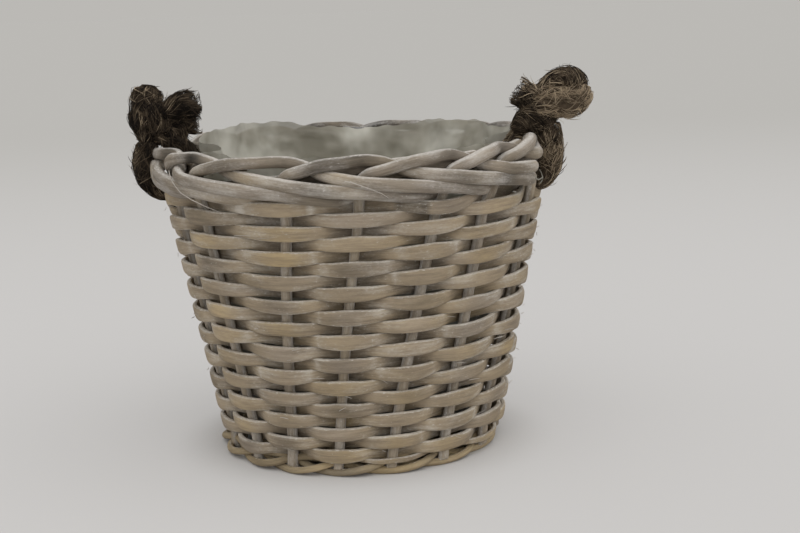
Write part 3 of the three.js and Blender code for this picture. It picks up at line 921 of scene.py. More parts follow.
@dataclass
class Stakes:
    """The fifteen stakes, each bent over and woven into the rolled border."""

    wall: Wall
    tip_height: float = 0.0036
    shift_heights: tuple[float, ...] = (0.0, 0.006, 0.012, 0.018, 0.030, 0.140, 0.160)
    shifts_out: tuple[float, ...] = (0.0034, 0.0026, 0.0016, 0.0010, 0.0009, 0.0009, 0.0)
    straight_below_kink: float = 2.4
    straight_steps: int = 40
    border_steps: int = 6
    before_rope: float = 2.6
    lifted_place: float = 2.5
    lift_up: float = 0.9
    lift_in: float = 0.43
    lift_reach: float = 0.45
    seed: int = 100
    grain_seed: int = 500
    sizes: tuple[float, float] = (0.98, 1.07)
    taper: tuple[float, float] = (1.03, 0.97)
    out_drift: tuple[float, float] = (9, 0.00016)
    up_drift: tuple[float, float] = (11, 0.0002)
    size_drift: tuple[float, float] = (7, 0.02)
    tint: float = 0.28
    tint_drift: tuple[float, float] = (14, 0.2)
    shade: float = 0.08
    shade_drift: tuple[float, float] = (10, 0.3)
    bare: float = 0.05
    bare_drift: tuple[float, float] = (12, 0.4)
    most_bare: float = 3.0
    border_thickness: float = 1.04
    face_fullness: float = 1.14
    face_from: float = 0.2
    face_over: float = 0.6
    slim_in_weave: float = 0.87
    slim_heights: tuple[float, float] = (0.148, 0.168)
    far_reach: float = 0.06
    inside_reach: float = 1.4
    border_dark: float = 0.3
    # Painted shade on the stretches that run inside the wall, behind the weave.
    inside_painted_shade: float = 0.45
    # Painted shade on the back of the border, for the shade that falls on the back rim.
    far_painted_shade: float = 0.5
    # More bare reed inside the wall, where the wash is missing, and at the back of the border, where it
    # adds to the painted shade.
    bare_inside_and_far_shade: float = 1.5
    cut_slant: float = 0.7
    border: tuple[WallPoint, ...] = (
        (0, 0, -0.8), (0.02, 0, -0.25), (0.07, 0.07, 0.08), (0.14, 0.2, 0.3), (0.25, 0.38, 0.55),
        (0.5, 0.45, 1.05), (0.75, 0.05, 1.12), (1, -0.5, 1.08), (1.2, -0.58, 0.84), (1.35, -0.42, 0.54),
        (1.5, 0.02, 0.2), (1.62, 0.42, 0.09), (1.78, 0.84, -0.02), (2, 1.1, -0.24), (2.25, 1.2, -0.45),
        (2.5, 1.2, -0.66), (2.75, 1.16, -0.86), (3, 1.08, -1.06), (3.25, 1.02, -1.3),
        (3.5, 0.86, -1.54), (3.7, 0.45, -1.72), (3.9, -0.3, -1.8), (4.1, -0.85, -1.6),
        (4.4, -1.06, -1.2), (4.8, -1.08, -0.82), (5.3, -1.08, -0.38), (5.8, -1.06, 0.04),
        (6.3, -1.0, 0.44), (6.6, -0.96, 0.6),
    )

    def _line(self, index: int) -> tuple[Array, Array, Array]:
        """Lays out a stake's line, up the wall and through the border.

        Args:
            index: The stake's number, 0 for the one in the middle of the front.

        Returns:
            Its places round the wall, its heights and its distances out.
        """
        wall = self.wall
        end = wall.kink_height - self.straight_below_kink * wall.strand
        straight = np.linspace(self.tip_height, end, self.straight_steps)
        steps = [(gap - index) % wall.stake_count for gap in wall.rope_gaps]
        path = [row for row in self.border if 3 not in steps or row[0] < self.before_rope]
        fine = smooth_through(np.array(path), self.border_steps)
        away = np.clip(np.abs(fine[:, 0] - self.lifted_place) / self.lift_reach, 0, 1)
        push = np.cos(away * math.pi / 2) ** 2 * (2 in steps)
        z = wall.kink_height + (fine[:, 2] + self.lift_up * push) * wall.strand / wall.lean
        out = (fine[:, 1] - self.lift_in * push) * wall.strand
        return (
            np.concatenate([np.zeros(len(straight)), fine[:, 0]]) + index,
            np.concatenate([straight, z]),
            np.concatenate([np.interp(straight, self.shift_heights, self.shifts_out), out]),
        )

    def _reed(self, index: int) -> Reed:
        """Lays out one stake, from its cut foot to its hidden end in the border.

        Args:
            index: The stake's number, 0 for the one in the middle of the front.

        Returns:
            The stake.
        """
        wall = self.wall
        rng = np.random.default_rng(self.seed + index)
        place, z, out = self._line(index)
        angle = wall.angle_at(place, z)
        at = np.arange(len(z)) * 1.0
        in_border = at >= self.straight_steps
        out = out + wander(rng, at, *self.out_drift)
        centres = wall.point(angle, z, out)
        centres[:, 2] += wander(rng, at, *self.up_drift) * in_border
        size = wall.stake_radius * rng.uniform(*self.sizes)
        size = size * (np.linspace(*self.taper, len(z)) + wander(rng, at, *self.size_drift))
        size = size * np.interp(z, self.slim_heights, (self.slim_in_weave, 1.0))
        face = np.clip((out / wall.strand - self.face_from) / self.face_over, 0, 1) * in_border
        # Stretches inside the wall stay bare of wash and get painted shade for the recess behind the weave.
        inside = np.clip(-out / wall.strand * self.inside_reach, 0, 1)
        # The back of the border gets painted shade and more bare reed, standing in for the shade on the
        # back rim.
        far = np.clip(centres[:, 1] / self.far_reach, 0, 1)
        tint = self.tint + wander(rng, at, *self.tint_drift)
        shade = self.shade + wander(rng, at, *self.shade_drift) - self.border_dark * in_border
        bare = self.bare + wander(rng, at, *self.bare_drift) + self.bare_inside_and_far_shade * (inside + far)
        return Reed(
            centres=centres,
            guides=wall.normal(angle),
            thick=size * np.where(in_border, self.border_thickness, 1.0),
            wide=size * (1 + (self.face_fullness - 1) * face),
            tint=np.clip(tint, 0, 1),
            # Painted shade inside the wall and along the back of the border.
            shade=shade - self.inside_painted_shade * inside - self.far_painted_shade * far * in_border,
            bare=np.clip(bare, 0, self.most_bare),
            seed=self.grain_seed + index,
            sides=16,
            squareness=2.15,
            slant=self.cut_slant,
        )

    def build(self, finish: bpy.types.Material) -> None:
        """Builds and places the stakes.

        Args:
            finish: The stakes' material.
        """
        half = self.wall.stake_count // 2
        for number in range(1, self.wall.stake_count + 1):
            piece = self._reed(number - 1 - half).build(f"stake_reed_{number:02d}", finish)
            place_piece(piece, Body.BASKET, Slot.STAKE, f"stake_{number:02d}")


@dataclass
class Foot:
    """Three thin rods twisted round the stakes' lower ends."""

    wall: Wall
    rod: float = 0.0036
    seen_rod: float = 0.0042
    strands: int = 3
    joint: float = 0.02
    hidden_joint: int = 14
    slide: float = -0.0026
    steps: int = 8
    seed: int = 4000
    grain_seed: int = 4100
    up_drift: tuple[float, float] = (0.7, 0.0003)
    up_limits: tuple[float, float] = (-0.0005, 0.0006)
    size: float = 1.02
    size_drift: tuple[float, float] = (0.6, 0.05)
    tint: float = 0.6
    tint_drift: tuple[float, float] = (1.0, 0.25)
    shade_drift: tuple[float, float] = (0.8, 0.2)
    bare: float = 0.6
    turns: tuple[tuple[float, float], ...] = (
        (0.0042, 0.0022),
        (0.0056, 0.0044),
        (-0.0010, 0.0078),
        (-0.0008, 0.0094),
        (-0.0034, 0.0060),
        (-0.0006, 0.0026),
    )

    @property
    def height(self) -> float:
        """The height of the foot's middle."""
        step = (self.rod + self.wall.clearance) / 2
        return step * 1.25 + self.rod / 2 * math.sin(math.pi / 3)

    @property
    def top(self) -> float:
        """The height of the foot's top."""
        return 2 * self.height

    @property
    def out(self) -> float:
        """How far a rod's middle stands from the stakes' circle."""
        return self.wall.stake_radius + self.wall.clearance + self.rod / 2

    def _reed(self, number: int) -> Reed:
        """Lays out one rod of the foot, in front of two stakes and behind one.

        Args:
            number: Which rod it is, from 0.

        Returns:
            The rod.
        """
        first = self.hidden_joint
        halves = np.arange(first, first + 2 * self.wall.stake_count + 1)
        rows = np.array([(h / 2, *self.turns[h % len(self.turns)]) for h in halves])
        rows[0, 0] += self.joint
        rows[-1, 0] -= self.joint
        place, out, z = smooth_through(rows, self.steps).T
        rng = np.random.default_rng(self.seed + number)
        z = z + np.clip(wander(rng, place, *self.up_drift), *self.up_limits)
        angle = self.wall.angle_at(number + place, z)
        out = self.wall.circle_at(z) + out + self.slide * np.sin(np.radians(angle))
        size = self.seen_rod / 2 * (self.size + wander(rng, place, *self.size_drift))
        centres = self.wall.outward(angle) * out[:, None]
        centres[:, 2] = np.maximum(z, size)
        return Reed(
            centres=centres,
            guides=self.wall.outward(angle),
            thick=size,
            wide=size,
            tint=np.clip(self.tint + wander(rng, place, *self.tint_drift), 0, 1),
            shade=wander(rng, place, *self.shade_drift),
            bare=np.full(len(z), self.bare),
            seed=self.grain_seed + number,
            sides=12,
            squareness=2.0,
        )

    def build(self, finish: bpy.types.Material) -> None:
        """Builds and places the foot's rods.

        Args:
            finish: The foot's material.
        """
        for number in range(self.strands):
            piece = self._reed(number).build(f"foot_reed_{number + 1}", finish)
            place_piece(piece, Body.BASKET, Slot.FOOT, f"foot_rod_{number + 1}")


@dataclass
class Weavers:
    """The rods that run in front of one stake and behind the next, climbing a row each round."""

    wall: Wall
    foot: Foot
    count: int = 19
    span: int = 16
    steps: int = 14
    cad_thickness: float = 0.0048
    cad_belly: float = 0.0082
    joint_gap: float = 0.0005
    border_depth: float = 2.12
    thickness: float = 0.0034
    front_out: float = 0.0060
    back_out: float = 0.0038
    fullness: float = 0.0017
    belly: float = 0.0086
    back_belly: float = 0.0102
    back_drop: float = 0.0016
    lift: float = 0.0021
    run_in: float = 16.0
    run_out: float = 12.9
    thin_over: float = 1.0
    thin_by: float = 0.7
    thin_keeps: float = 0.6
    thick_mean: float = 1.02
    last_crossing: float = 317.0
    sag_place: float = 316.0
    sag_width: float = 0.45
    sag: float = 0.0034
    patch_place: float = 315.63
    patch_reach: float = 0.19
    patch_fade: float = 0.02
    dip: float = 0.0050
    dip_rows: int = 6
    dip_width: float = 7.0
    seed: int = 2000
    grain_seed: int = 3000
    stretch_seed: int = 77
    up_drift: tuple[float, float] = (1.7, 0.00016)
    height_drift: tuple[float, float] = (0.8, 0.02)
    tint_drift: tuple[float, float] = (1.1, 0.12)
    shade_drift: tuple[float, float] = (0.9, 0.12)
    tint: float = 0.36
    # Painted shade on the stretches that pass behind a stake.
    behind_painted_shade: float = 0.45
    behind_from: float = 0.1
    bare: float = 0.3
    patch_dark: float = 0.95
    patch_painted: float = 0.2
    spread_tint: float = 0.28
    spread_shade: float = 0.2
    spread_bare: float = 0.55
    spread_up: float = 0.00042
    spread_behind: float = 0.0008
    spread_out: float = 0.0003
    spread_height: float = 0.055
    spread_thickness: float = 0.05
    chance_rows: int = 80
    chance_before: int = 20
    shoulder_place: float = 0.4
    shoulder_width: float = 0.035

    @property
    def first_row(self) -> float:
        """The height of the lowest row."""
        return self.foot.top + self.wall.clearance + self.cad_belly / 2

    @property
    def last_row(self) -> float:
        """The height of the top row."""
        lowest = self.wall.kink_height - (self.border_depth + 0.5) * self.wall.strand
        return lowest - (self.wall.clearance + self.cad_belly) / 2

    @property
    def cad_out(self) -> float:
        """How far a plain rod's middle stands from the stakes' circle where it passes one."""
        return self.wall.stake_radius + self.wall.clearance + self.cad_thickness / 2

    @property
    def pitch(self) -> float:
        """The rise of the climb in one round."""
        return (self.last_row - self.first_row) * self.wall.stake_count / (self.count * self.span)

    def _chances(self, segment: Array) -> Array:
        """Gives each stretch's own chances, so that neighbouring rods agree on them.

        Args:
            segment: The number of the stake that each place is nearest to.

        Returns:
            Six rows of numbers: up, out, height, thickness, tint and shade.
        """
        count = self.count * self.span + self.chance_rows
        chances = np.random.default_rng(self.stretch_seed).normal(0, 1, (count, 6))
        return chances[segment + self.chance_before].T

    def _reed(self, number: int, start: float, length: float) -> Reed:
        """Lays out one rod.

        Args:
            number: Which rod it is, from 0.
            start: Where it starts, counted in stakes from the first.
            length: How many stakes it passes.

        Returns:
            The rod.
        """
        wall = self.wall
        rng = np.random.default_rng(self.seed + number)
        spacing = 2 * math.pi * wall.circle_at(wall.kink_height / 2) / wall.stake_count
        end = self.joint_gap / 2 / spacing
        place = np.linspace(start + end, start + length - end, int(length * self.steps) + 1)
        level = self.first_row + self.lift + self.pitch * (place - 1) / wall.stake_count
        past = place - 1 - self.count * self.span - self.run_out + self.thin_over
        thin_in = np.clip((1 - place) / self.run_in, 0, 1) * self.thin_by
        thin_out = np.clip(past / self.thin_over, 0, 1) * self.thin_by
        thin = 1 - thin_in - thin_out
        angle = wall.angle_at(place, level)
        press = sum(wall.nearness(angle, gap, self.dip_width) for gap in wall.rope_gaps)
        below = np.clip((self.last_row - level) / (self.dip_rows * self.pitch), None, 1)
        squeeze = np.where(below < 1, press * self.dip / self.dip_rows, 0)
        swing = np.cos(math.pi * np.minimum(place, self.last_crossing))
        front = swing**2
        behind = np.clip(-swing, 0, 1)
        segment = np.round(place).astype(int)
        up, push, tall, stout, ochre, pale = self._chances(segment)
        z = level - self.dip * press * np.maximum(0, 1 - below)
        z = z + up * self.spread_up * front + wander(rng, place, *self.up_drift)
        z = z + (tall * self.spread_behind - self.back_drop) * behind**1.5
        z = z - self.sag * np.exp(-(((place - self.sag_place) / self.sag_width) ** 2))
        out = (self.front_out - self.back_out) / 2 + (self.front_out + self.back_out) / 2 * swing
        out = out + self.fullness * (1 - front) + push * self.spread_out * front
        waist = self.pitch - squeeze
        height = waist + (np.where(swing > 0, self.belly, self.back_belly) - waist) * front**0.8
        swell = self.spread_height * tall * front + wander(rng, place, *self.height_drift)
        height = height * (1 + swell)
        z = z + (thin_in - thin_out) * height / 2
        thick = self.thickness * (self.thick_mean + self.spread_thickness * stout * front)
        thick = thick * (self.thin_keeps + (1 - self.thin_keeps) * thin)
        tint = self.tint + self.spread_tint * ochre * front + wander(rng, place, *self.tint_drift)
        shade = self.spread_shade * pale * front + wander(rng, place, *self.shade_drift)
        # Painted shade where the rod passes behind a stake, in the recess between its neighbours.
        shade = shade - self.behind_painted_shade * np.clip(self.behind_from - swing, 0, 1)
        bare = np.clip((self.bare + self.spread_bare * stout) * front**3, 0, 1) * (swing > 0)
        patch = np.clip((self.patch_reach - np.abs(place - self.patch_place)) / self.patch_fade, 0, 1)
        shoulder = (np.abs(place - segment) - self.shoulder_place) / self.shoulder_width
        shoulder = np.exp(-(shoulder**2)) * (swing > 0) * np.clip(push, 0, 1)
        return Reed(
            centres=wall.point(angle, z, out),
            guides=wall.normal(angle),
            thick=thick / 2,
            wide=height * thin / 2,
            tint=np.clip(tint, 0, 1),
            shade=shade - self.patch_dark * patch,
            bare=bare - self.patch_painted * patch - shoulder,
            seed=self.grain_seed + number,
            sides=18,
            squareness=4.0,
        )

    def build(self, finish: bpy.types.Material) -> None:
        """Builds and places the rods.

        Args:
            finish: The weavers' material.
        """
        for number in range(self.count):
            early = self.run_in if number == 0 else 0
            late = self.run_out if number == self.count - 1 else 0
            reed = self._reed(number, 1 + number * self.span - early, self.span + early + late)
            piece = reed.build(f"weaver_reed_{number + 1:02d}", finish)
            place_piece(piece, Body.BASKET, Slot.WEAVER, f"weaver_{number + 1:02d}")


@dataclass
class Base:
    """Sticks laid across each other and opened into spokes, with two rods woven round them."""

    wall: Wall
    foot: Foot
    stick: float = 0.0049
    each_way: int = 3
    weaver_width: float = 0.0046
    weaver_height: float = 0.0032
    row_pitch: float = 0.0055
    first_row: float = 0.020
    bend_margin: float = 0.002
    more_passes: int = 6
    stick_seed: int = 5000
    round_seed: int = 5200
    grain_seed_step: int = 100
    tint: float = 0.45
    tint_reach: float = 0.2
    bare: float = 0.5

    @property
    def rise(self) -> float:
        """How far a woven rod's middle stands from a spoke's."""
        return self.stick / 2 + self.wall.clearance + self.weaver_height / 2

    @property
    def spoke_height(self) -> float:
        """The height of the spokes' middle."""
        return self.wall.clearance + self.weaver_height / 2 + self.rise

    @property
    def top(self) -> float:
        """The height of the base's upper side."""
        return self.spoke_height + self.rise + self.weaver_height / 2

    @property
    def spoke_end(self) -> float:
        """The radius where the spokes end, just inside the foot."""
        circle = self.wall.circle_at(self.foot.height)
        return circle - self.foot.out - self.foot.rod / 2 - self.wall.clearance

    @property
    def spokes(self) -> int:
        """The number of spokes."""
        return 4 * self.each_way

    def _rod(
        self,
        centres: Array,
        sizes: tuple[float, float],
        spacing: float,
        depth: float,
        seed: int,
        squareness: float,
    ) -> Reed:
        """Makes a level rod of one size.

        Args:
            centres: Its centreline.
            sizes: Its height and its width.
            spacing: How far apart its changes of colour lie.
            depth: How strong its changes of lightness are.
            seed: The seed of its chances.
            squareness: The form of its section.

        Returns:
            The rod.
        """
        count = len(centres)
        rng = np.random.default_rng(seed)
        at = np.arange(count) * 1.0
        return Reed(
            centres=centres,
            guides=np.tile(UP, (count, 1)),
            thick=np.full(count, sizes[0] / 2),
            wide=np.full(count, sizes[1] / 2),
            tint=np.clip(self.tint + wander(rng, at, spacing, self.tint_reach), 0, 1),
            shade=wander(rng, at, spacing, depth),
            bare=np.full(count, self.bare),
            seed=seed + self.grain_seed_step,
            squareness=squareness,
        )

    def _stick(self, index: int, upper: bool) -> Reed:
        """Lays out one base stick, level in the crossing and fanned out beyond it.

        Args:
            index: Which of the sticks that lie beside each other it is, from 0.
            upper: Whether it lies across the others, on top of them.

        Returns:
            The stick.
        """
        middle = (self.each_way - 1) / 2
        pitch = self.stick + self.wall.clearance
        centre = self.stick * 1.5 + self.wall.clearance if upper else self.stick / 2
        fan = math.radians((index - middle) * 360 / self.spokes)
        arm = [(self.each_way / 2 * pitch + self.bend_margin, (index - middle) * pitch, centre)]
        for reach in (self.first_row - self.weaver_width, self.spoke_end):
            arm.append((reach * math.cos(fan), reach * math.sin(fan), self.spoke_height))
        rows = np.array([(-x, y, z) for x, y, z in reversed(arm)] + arm)
        if upper:
            rows = np.stack([-rows[:, 1], rows[:, 0], rows[:, 2]], axis=-1)
        path = [np.linspace(rows[i], rows[i + 1], 10, endpoint=False) for i in range(len(rows) - 1)]
        centres = np.vstack([*path, rows[-1:]])
        seed = self.stick_seed + index + 10 * upper
        return self._rod(centres, (self.stick, self.stick), 9, 0.2, seed, 2.6)

    def _woven(self, chaser: int) -> Reed:
        """Lays out one of the two rods that are woven round the spokes.

        Args:
            chaser: Which of the two it is, 0 or 1.

        Returns:
            The rod.
        """
        step = 360 / self.spokes
        room = self.spoke_end - self.weaver_width / 2 - self.first_row - self.row_pitch
        passes = math.floor(room / (2 * self.row_pitch) * self.spokes) + self.more_passes
        flat = self.stick / 2 + self.wall.clearance
        rows = []
        for turn in range(passes + 1):
            radius = self.first_row + chaser * self.row_pitch + 2 * self.row_pitch * turn / self.spokes
            over = 1 if (turn + chaser) % 2 == 0 else -1
            for side in (-1, 1):
                rows.append((turn * step + side * math.degrees(flat / radius), radius, over * self.rise))
        angle, radius, rise = smooth_through(np.array(rows), 5).T
        centres = self.wall.outward(angle) * radius[:, None]
        centres[:, 2] = self.spoke_height + np.clip(rise, -self.rise, self.rise)
        sizes = (self.weaver_height, self.weaver_width)
        return self._rod(centres, sizes, 12, 0.25, self.round_seed + chaser, 2.2)

    def build(self, finish: bpy.types.Material) -> None:
        """Builds and places the base's sticks and woven rods.

        Args:
            finish: The base's material.
        """
        for index in range(self.each_way):
            for upper in (False, True):
                level = "upper" if upper else "lower"
                piece = self._stick(index, upper).build(f"base_reed_{level}_{index + 1}", finish)
                place_piece(piece, Body.BASKET, Slot.BASE, f"base_stick_{level}_{index + 1}")
        for chaser in (0, 1):
            piece = self._woven(chaser).build(f"base_round_{chaser + 1}", finish)
            place_piece(piece, Body.BASKET, Slot.BASE, f"base_weaver_{chaser + 1}")


@dataclass
class FilmLiner:
    """A crumpled cup of thin film that stands on the base, with a loose, uneven edge."""

    wall: Wall
    base: Base
    weavers: Weavers
    tuck: float = 1.08
    columns: int = 384
    rows: int = 72
    bottom_rings: int = 14
    bottom_lift: float = 0.0006
    bottom_ripple: float = 0.0008
    bottom_waves: int = 7
    bottom_turn: float = 0.9
    crumple: float = 0.006
    creases: int = 70
    crease_width: float = 0.42
    crease_height: float = 1.9
    crease_at_floor: float = 0.15
    wrinkle: float = 0.0012
    wrinkles: int = 420
    wrinkle_width: float = 0.12
    wrinkle_twist: float = 0.2
    wrinkle_levels: tuple[float, float] = (-0.05, 1.05)
    hollow_sines: tuple[tuple[float, float], ...] = ((12.9898, 43758.5453), (78.233, 24634.6345))
    hollows_past: float = 0.1
    fold_from: float = 8.0
    fold_over: float = 11.0
    fold_level: float = 0.68
    fold_level_over: float = 0.1
    fold_in: float = 0.0322
    cut_area: float = 0.125
    seed: int = 61
    edge: tuple[float, ...] = (
        -3, -4, -2, -1, -3, -5, -6, -1, 1, 2.5, 1.5, -2.5,
        -3.5, -1, 3.5, 4.5, 3.5, 1, -5, -5, -1, -3, -4, -2,
    )
    edge_ripples: tuple[tuple[float, float, float], ...] = ((0.0005, 0.31, 0.0), (0.0004, 0.83, 1.0))

    @property
    def floor(self) -> float:
        """The height of the film's bottom."""
        return self.base.top + self.wall.clearance

    @property
    def inset(self) -> float:
        """How far the film stays inside the stakes' circle."""
        border = self.tuck * self.wall.strand + self.wall.stake_radius
        weave = self.weavers.cad_out + self.weavers.cad_thickness / 2
        return max(border, weave) + self.wall.clearance

    def _fold(self, degrees: Array) -> Array:
        """Gives how far the ropes fold the film in at an angle, from 0 to 1."""
        away = [np.abs(self.wall.away_from(degrees, gap)) for gap in self.wall.rope_gaps]
        return 1 - ease(np.minimum(*away), self.fold_from, self.fold_over)

    def _crease(self, turn: Array, level: Array, hollows: Array, width: float) -> Array:
        """Finds the creases between the hollows that lie nearest to each other.

        Args:
            turn: The angles of the places, in radians.
            level: Their shares of the film's height.
            hollows: The middle of each hollow, as an angle and a share of the height.
            width: How wide a crease's slope is.

        Returns:
            How close each place is to a crease, from 0 to 1.
        """
        away = turn[..., None] - hollows[:, 0]
        away = away - 2 * math.pi * np.round(away / (2 * math.pi))
        distance = np.hypot(away, (level[..., None] - hollows[:, 1]) * self.crease_height)
        two = np.partition(distance, 1, axis=-1)[..., :2]
        return 1 - ease(two.max(axis=-1) - two.min(axis=-1), 0, width)

    def _hollows(self) -> Array:
        """Scatters the middles of the hollows by the parts of large sines after their points.

        Returns:
            One row for each hollow, an angle and a share of the height.
        """
        number = np.arange(1, self.creases + 1)
        turn, level = (np.sin(number * step) * size for step, size in self.hollow_sines)
        turn = (turn - np.floor(turn)) * 2 * math.pi
        level = (level - np.floor(level)) * (1 + 2 * self.hollows_past) - self.hollows_past
        return np.stack([turn, level], axis=-1)

    def _depth(self, turn: Array, level: Array) -> Array:
        """Finds the depth of the film's creases and fine wrinkles.

        Args:
            turn: The angles of the places, in radians.
            level: Their shares of the film's height.

        Returns:
            How far the film stands in from the wall.
        """
        deep = self.crease_at_floor + (1 - self.crease_at_floor) * np.minimum(1, 2 * level)
        main = self._crease(turn, level, self._hollows(), self.crease_width) * deep
        rng = np.random.default_rng(self.seed)
        ranges = ((0, 2 * math.pi), self.wrinkle_levels)
        spots = [rng.uniform(*ends, self.wrinkles) for ends in ranges]
        twisted = turn + self.wrinkle_twist * level
        fine = self._crease(twisted, level, np.stack(spots, axis=-1), self.wrinkle_width)
        return self.crumple * main + self.wrinkle * fine

    def _edge_height(self, degrees: Array) -> Array:
        """Gives the height of the loose edge at an angle.

        Args:
            degrees: The angles round the film.

        Returns:
            The heights.
        """
        knots = np.array([*self.edge, self.edge[0]]) * MM
        place = degrees / 360 * len(self.edge)
        ripple = sum(size * np.sin(degrees * step + start) for size, step, start in self.edge_ripples)
        return self.wall.rim_height + np.interp(place, np.arange(len(knots)), knots) + ripple

    def _side(self, degrees: Array) -> Array:
        """Lays out the film along the wall.

        Args:
            degrees: The angle of each column.

        Returns:
            Its points, row by row from the bottom.
        """
        turn = np.radians(degrees)[None, :] + np.zeros((self.rows, 1))
        level = np.linspace(0, 1, self.rows)[:, None] + 0 * turn
        z = self.floor + (self._edge_height(degrees) - self.floor) * level
        radius = self.wall.circle_at(z) - self.inset - self._depth(turn, level)
        folded = self._fold(degrees) * ease(level, self.fold_level, self.fold_level_over)
        inner = self.wall.rim_circle - self.fold_in
        radius = np.minimum(radius, radius * (1 - folded) + inner * folded)
        points = np.stack([radius * np.sin(turn), -radius * np.cos(turn), z], axis=-1).reshape(-1, 3)
        points[: self.columns, 2] = self.floor + self.bottom_lift
        return points

    def _bottom(self, first: Array, turn: Array) -> Array:
        """Lays out the film's bottom.

        Args:
            first: The side's lowest row.
            turn: The angle of each column, in radians.

        Returns:
            Its points, ring by ring towards the middle, and the middle itself.
        """
        rings = []
        for ring in range(1, self.bottom_rings):
            flat = first.copy()
            flat[:, :2] *= 1 - ring / self.bottom_rings
            ripple = np.sin(self.bottom_waves * turn + ring) * np.sin(ring * self.bottom_turn)
            flat[:, 2] += self.bottom_ripple * np.maximum(0, ripple)
            rings.append(flat)
        return np.vstack([*rings, [[0, 0, self.floor + self.bottom_lift]]])

    def _faces(self) -> list[list[int]]:
        """Joins the side's rows, then the bottom's rings, the first of them to the lowest row.

        Returns:
            The faces.
        """
        count = self.columns
        faces = ring_faces(self.rows, count)
        rows = [0, *range(self.rows, self.rows + self.bottom_rings - 1)]
        for outer, inner in zip(rows, rows[1:]):
            for column in range(count):
                after = (column + 1) % count
                corners = (inner * count + column, inner * count + after, outer * count + after)
                faces.append([*corners, outer * count + column])
        last = rows[-1] * count
        faces.extend([last + count, last + (column + 1) % count, last + column] for column in range(count))
        return faces

    def build(self, finish: bpy.types.Material) -> None:
        """Builds and places the film.

        Args:
            finish: The film's material.
        """
        degrees = np.linspace(0, 360, self.columns, endpoint=False)
        side = self._side(degrees)
        points = np.vstack([side, self._bottom(side[: self.columns], np.radians(degrees))])
        piece = mesh_object("film_liner_sheet", points, self._faces(), points, {}, finish)
        place_piece(piece, Body.BASKET, Slot.LINER, "film_liner")


@dataclass
class RopePath:
    """The smooth centreline of a stretch of rope, with a steady frame and the radius there."""

    centres: Array
    first: Array
    second: Array
    radii: Array

    @property
    def length(self) -> Array:
        """How far along the path each of its centres is."""
        return travelled(self.centres)

    @property
    def area(self) -> float:
        """The surface of the rope along the path."""
        around = math.pi * (self.radii[1:] + self.radii[:-1])
        return float(np.sum(around * np.diff(self.length)))

    def at(self, place: Array) -> tuple[Array, Array, Array]:
        """Finds the centre and the two directions across at places along the path.

        Args:
            place: How far along the path they are.

        Returns:
            The three, each with a last axis of three.
        """
        length = self.length
        rows = (self.centres, self.first, self.second)
        made = [np.stack([np.interp(place, length, row[:, k]) for k in range(3)], axis=-1) for row in rows]
        return made[0], made[1], made[2]


@dataclass
class RopeRun:
    """One stretch of rope: points out from the pivot, along the wall and up, and the radius there."""

    points: list[RopePoint]
    lay: float
    # How light the run is; in the right knot's bight it also holds painted light and painted shade.
    light: float
    brush: bool = False
    steps: int = 12
    guide: tuple[float, float, float] = (0.31, 0.17, 0.93)

    def path(self, origin: Array, axes: Array, radius: float) -> RopePath:
        """Finds the run's smooth centreline with a steady frame.

        Args:
            origin: The pivot.
            axes: Rows for out, along and up.
            radius: The rope's radius.

        Returns:
            The path.
        """
        fine = smooth_through(np.array(self.points), self.steps)
        centres = origin + (fine[:, :3] * radius) @ axes
        tangent = unit(np.gradient(centres, axis=0))
        first = np.zeros_like(centres)
        guide = np.cross(tangent[0], self.guide)
        for i, way in enumerate(tangent):
            guide = guide - way * float(guide @ way)
            guide = guide / np.linalg.norm(guide)
            first[i] = guide
        return RopePath(centres, first, np.cross(tangent, first), fine[:, 3] * radius)


@dataclass
class Fibres:
    """What chance gives to the fibres of a run, one row for each of them."""

    start: Array
    end: Array
    theta: Array
    along: Array
    across: Array
    height: Array
    arch: Array
    lift: Array
    curl: Array
    shade: Array


